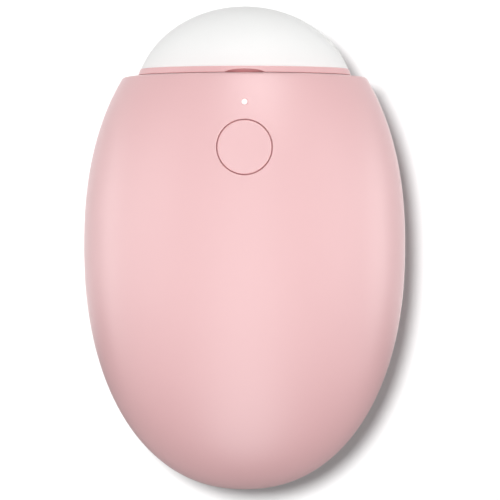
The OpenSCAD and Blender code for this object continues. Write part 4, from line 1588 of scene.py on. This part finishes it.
@dataclass
class Studio:
    """The camera, the white floor, the even daylight round it and the lamps.

    One lamp shines on the floor alone and gives the shadow to the lower right. The others
    shine on the object alone, as even as the photograph's light is. Gloss sees a white sky and
    floor, and a dark flag below the object, which starts and is full at the two Y of each flag.
    """

    camera_place: Point = (0.0011, -0.00046, 0.5326)
    lens: float = 180.0
    sensor: float = 36.0
    daylight: float = 0.21
    floor_half: float = 1.5
    floor_z: float = -0.00002
    floor_colour: float = 0.85
    floor_bounce: float = 0.26
    floor_lift: float = 0.08
    sky_flag: tuple[float, float] = (-0.38, -0.62)
    floor_flag: tuple[float, float] = (-0.012, -0.035)
    fade_start: float = 0.1
    fade_end: float = 0.4
    lamps: tuple[Lamp, ...] = (
        Lamp("shadow_lamp", (-0.083, 0.068, 0.62), 0.12, 4.2, Lights.FLOOR),
        Lamp("over_lamp", (0.0, 0.0, 0.75), 0.5, 0.76),
        Lamp("low_lamp", (0.0, -0.17, 0.62), 0.5, 0.42),
        Lamp("foot_lamp", (0.0, -0.4, 0.4), 0.4, 0.64),
        Lamp("upper_lamp", (0.055, 0.33, 0.42), 0.2, 0.54),
        Lamp("left_lamp", (-0.42, 0.06, 0.42), 0.4, 0.6),
        Lamp("right_lamp", (0.42, 0.06, 0.42), 0.4, 0.52),
        Lamp("left_edge_lamp", (-0.62, 0.03, 0.04), 0.4, 0.98),
        Lamp("right_edge_lamp", (0.62, 0.03, 0.04), 0.4, 1.03),
    )

    def _seen_directly(self, board: NodeBoard, place: Signal,
                       flag: tuple[float, float]) -> Signal:
        """Return how far a ray sees a surface itself, and not only the light from it.

        Args:
            board: the nodes of the world or the floor.
            place: the direction in the world, or the point on the floor.
            flag: the Y where the dark flag below the object starts, and where it is full.

        Returns:
            1 for the camera, glass and gloss, 0 for gloss at the flag, and 0 for light.
        """
        camera, gloss, glass = (
            board.node("ShaderNodeLightPath", output=name)
            for name in ("Is Camera Ray", "Is Glossy Ray", "Is Transmission Ray"))
        clear = board.node("ShaderNodeMapRange", {"interpolation_type": "SMOOTHSTEP"}, {
            "Value": board.axis(place, "Y"), "From Min": flag[1], "From Max": flag[0]})
        return board.math("MINIMUM", camera + gloss * clear + glass, 1.0)

    def build_world(self) -> None:
        """Light the scene evenly and show white behind it."""
        world = bpy.data.worlds.new("daylight")
        bpy.context.scene.world = world
        world.use_nodes = True
        board = NodeBoard(world.node_tree)
        place = board.node("ShaderNodeTexCoord", output="Generated")
        direct = self._seen_directly(board, place, self.sky_flag)
        level = self.daylight + direct * (1 - self.daylight)
        sky = board.node("ShaderNodeBackground", inputs={"Color": (1, 1, 1, 1),
                                                         "Strength": level})
        board.node("ShaderNodeOutputWorld", inputs={"Surface": sky})

    def build_floor(self) -> bpy.types.Object:
        """Lay the white floor, which shows the object's shadow.

        Returns:
            The floor.
        """
        half, z = self.floor_half, self.floor_z
        mesh = bpy.data.meshes.new("floor")
        mesh.from_pydata([(-half, -half, z), (half, -half, z), (half, half, z),
                          (-half, half, z)], [], [(0, 1, 2, 3)])
        floor = bpy.data.objects.new("floor", mesh)
        bpy.context.scene.collection.objects.link(floor)
        material = bpy.data.materials.new("white_floor")
        material.use_nodes = True
        board = NodeBoard(material.node_tree)
        place = board.node("ShaderNodeNewGeometry", output="Position")
        direct = self._seen_directly(board, place, self.floor_flag)
        base = board.node("ShaderNodeBsdfDiffuse", inputs={"Color": board.mix(
            direct, (self.floor_bounce,) * 3, (self.floor_colour,) * 3)})
        distance = board.node("ShaderNodeVectorMath", {"operation": "LENGTH"}, {0: place},
                              output="Value")
        fade = board.node("ShaderNodeMapRange", {"interpolation_type": "SMOOTHSTEP"}, {
            "Value": distance, "From Min": self.fade_start, "From Max": self.fade_end})
        glow = board.node("ShaderNodeEmission", inputs={
            "Color": (1, 1, 1, 1), "Strength": direct * (fade + self.floor_lift)})
        both = board.node("ShaderNodeAddShader", inputs={0: base, 1: glow})
        board.node("ShaderNodeOutputMaterial", inputs={"Surface": both})
        mesh.materials.append(material)
        return floor

    def hang_lamps(self, floor: bpy.types.Object) -> None:
        """Hang the lamps, once every piece of the object is in the scene.

        Args:
            floor: the floor, which the shadow lamp lights.
        """
        targets = {lights: bpy.data.collections.new("lit_" + lights.value)
                   for lights in Lights}
        targets[Lights.FLOOR].objects.link(floor)
        for piece in bpy.context.scene.objects:
            if piece.type == "MESH" and piece is not floor:
                targets[Lights.OBJECT].objects.link(piece)
        for lamp in self.lamps:
            lamp.build(targets)
            log.info("%s: lights the %s", lamp.name, lamp.lights.value)

    def build_camera(self) -> None:
        """Set the camera where the photograph was taken from."""
        data = bpy.data.cameras.new("camera")
        data.lens = self.lens
        data.sensor_width = self.sensor
        camera = bpy.data.objects.new("camera", data)
        camera.location = self.camera_place
        bpy.context.scene.collection.objects.link(camera)
        bpy.context.scene.camera = camera

    def build(self) -> None:
        """Set up the camera, the world, the floor and the lamps."""
        self.build_camera()
        self.build_world()
        self.hang_lamps(self.build_floor())
        bpy.context.scene.view_settings.view_transform = "Standard"


def main() -> None:
    """Build the hand warmer and its studio."""
    logging.basicConfig(level=logging.INFO, format="%(name)s: %(message)s")
    housing = Housing()
    housing.build()
    ShellFittings(housing).build()
    LampCap().build()
    PowerButton(housing).build()
    Indicator(housing).build()
    FoamPads().build()
    InnerFinishes().dress()
    Studio().build()


if __name__ == "__main__":
    main()
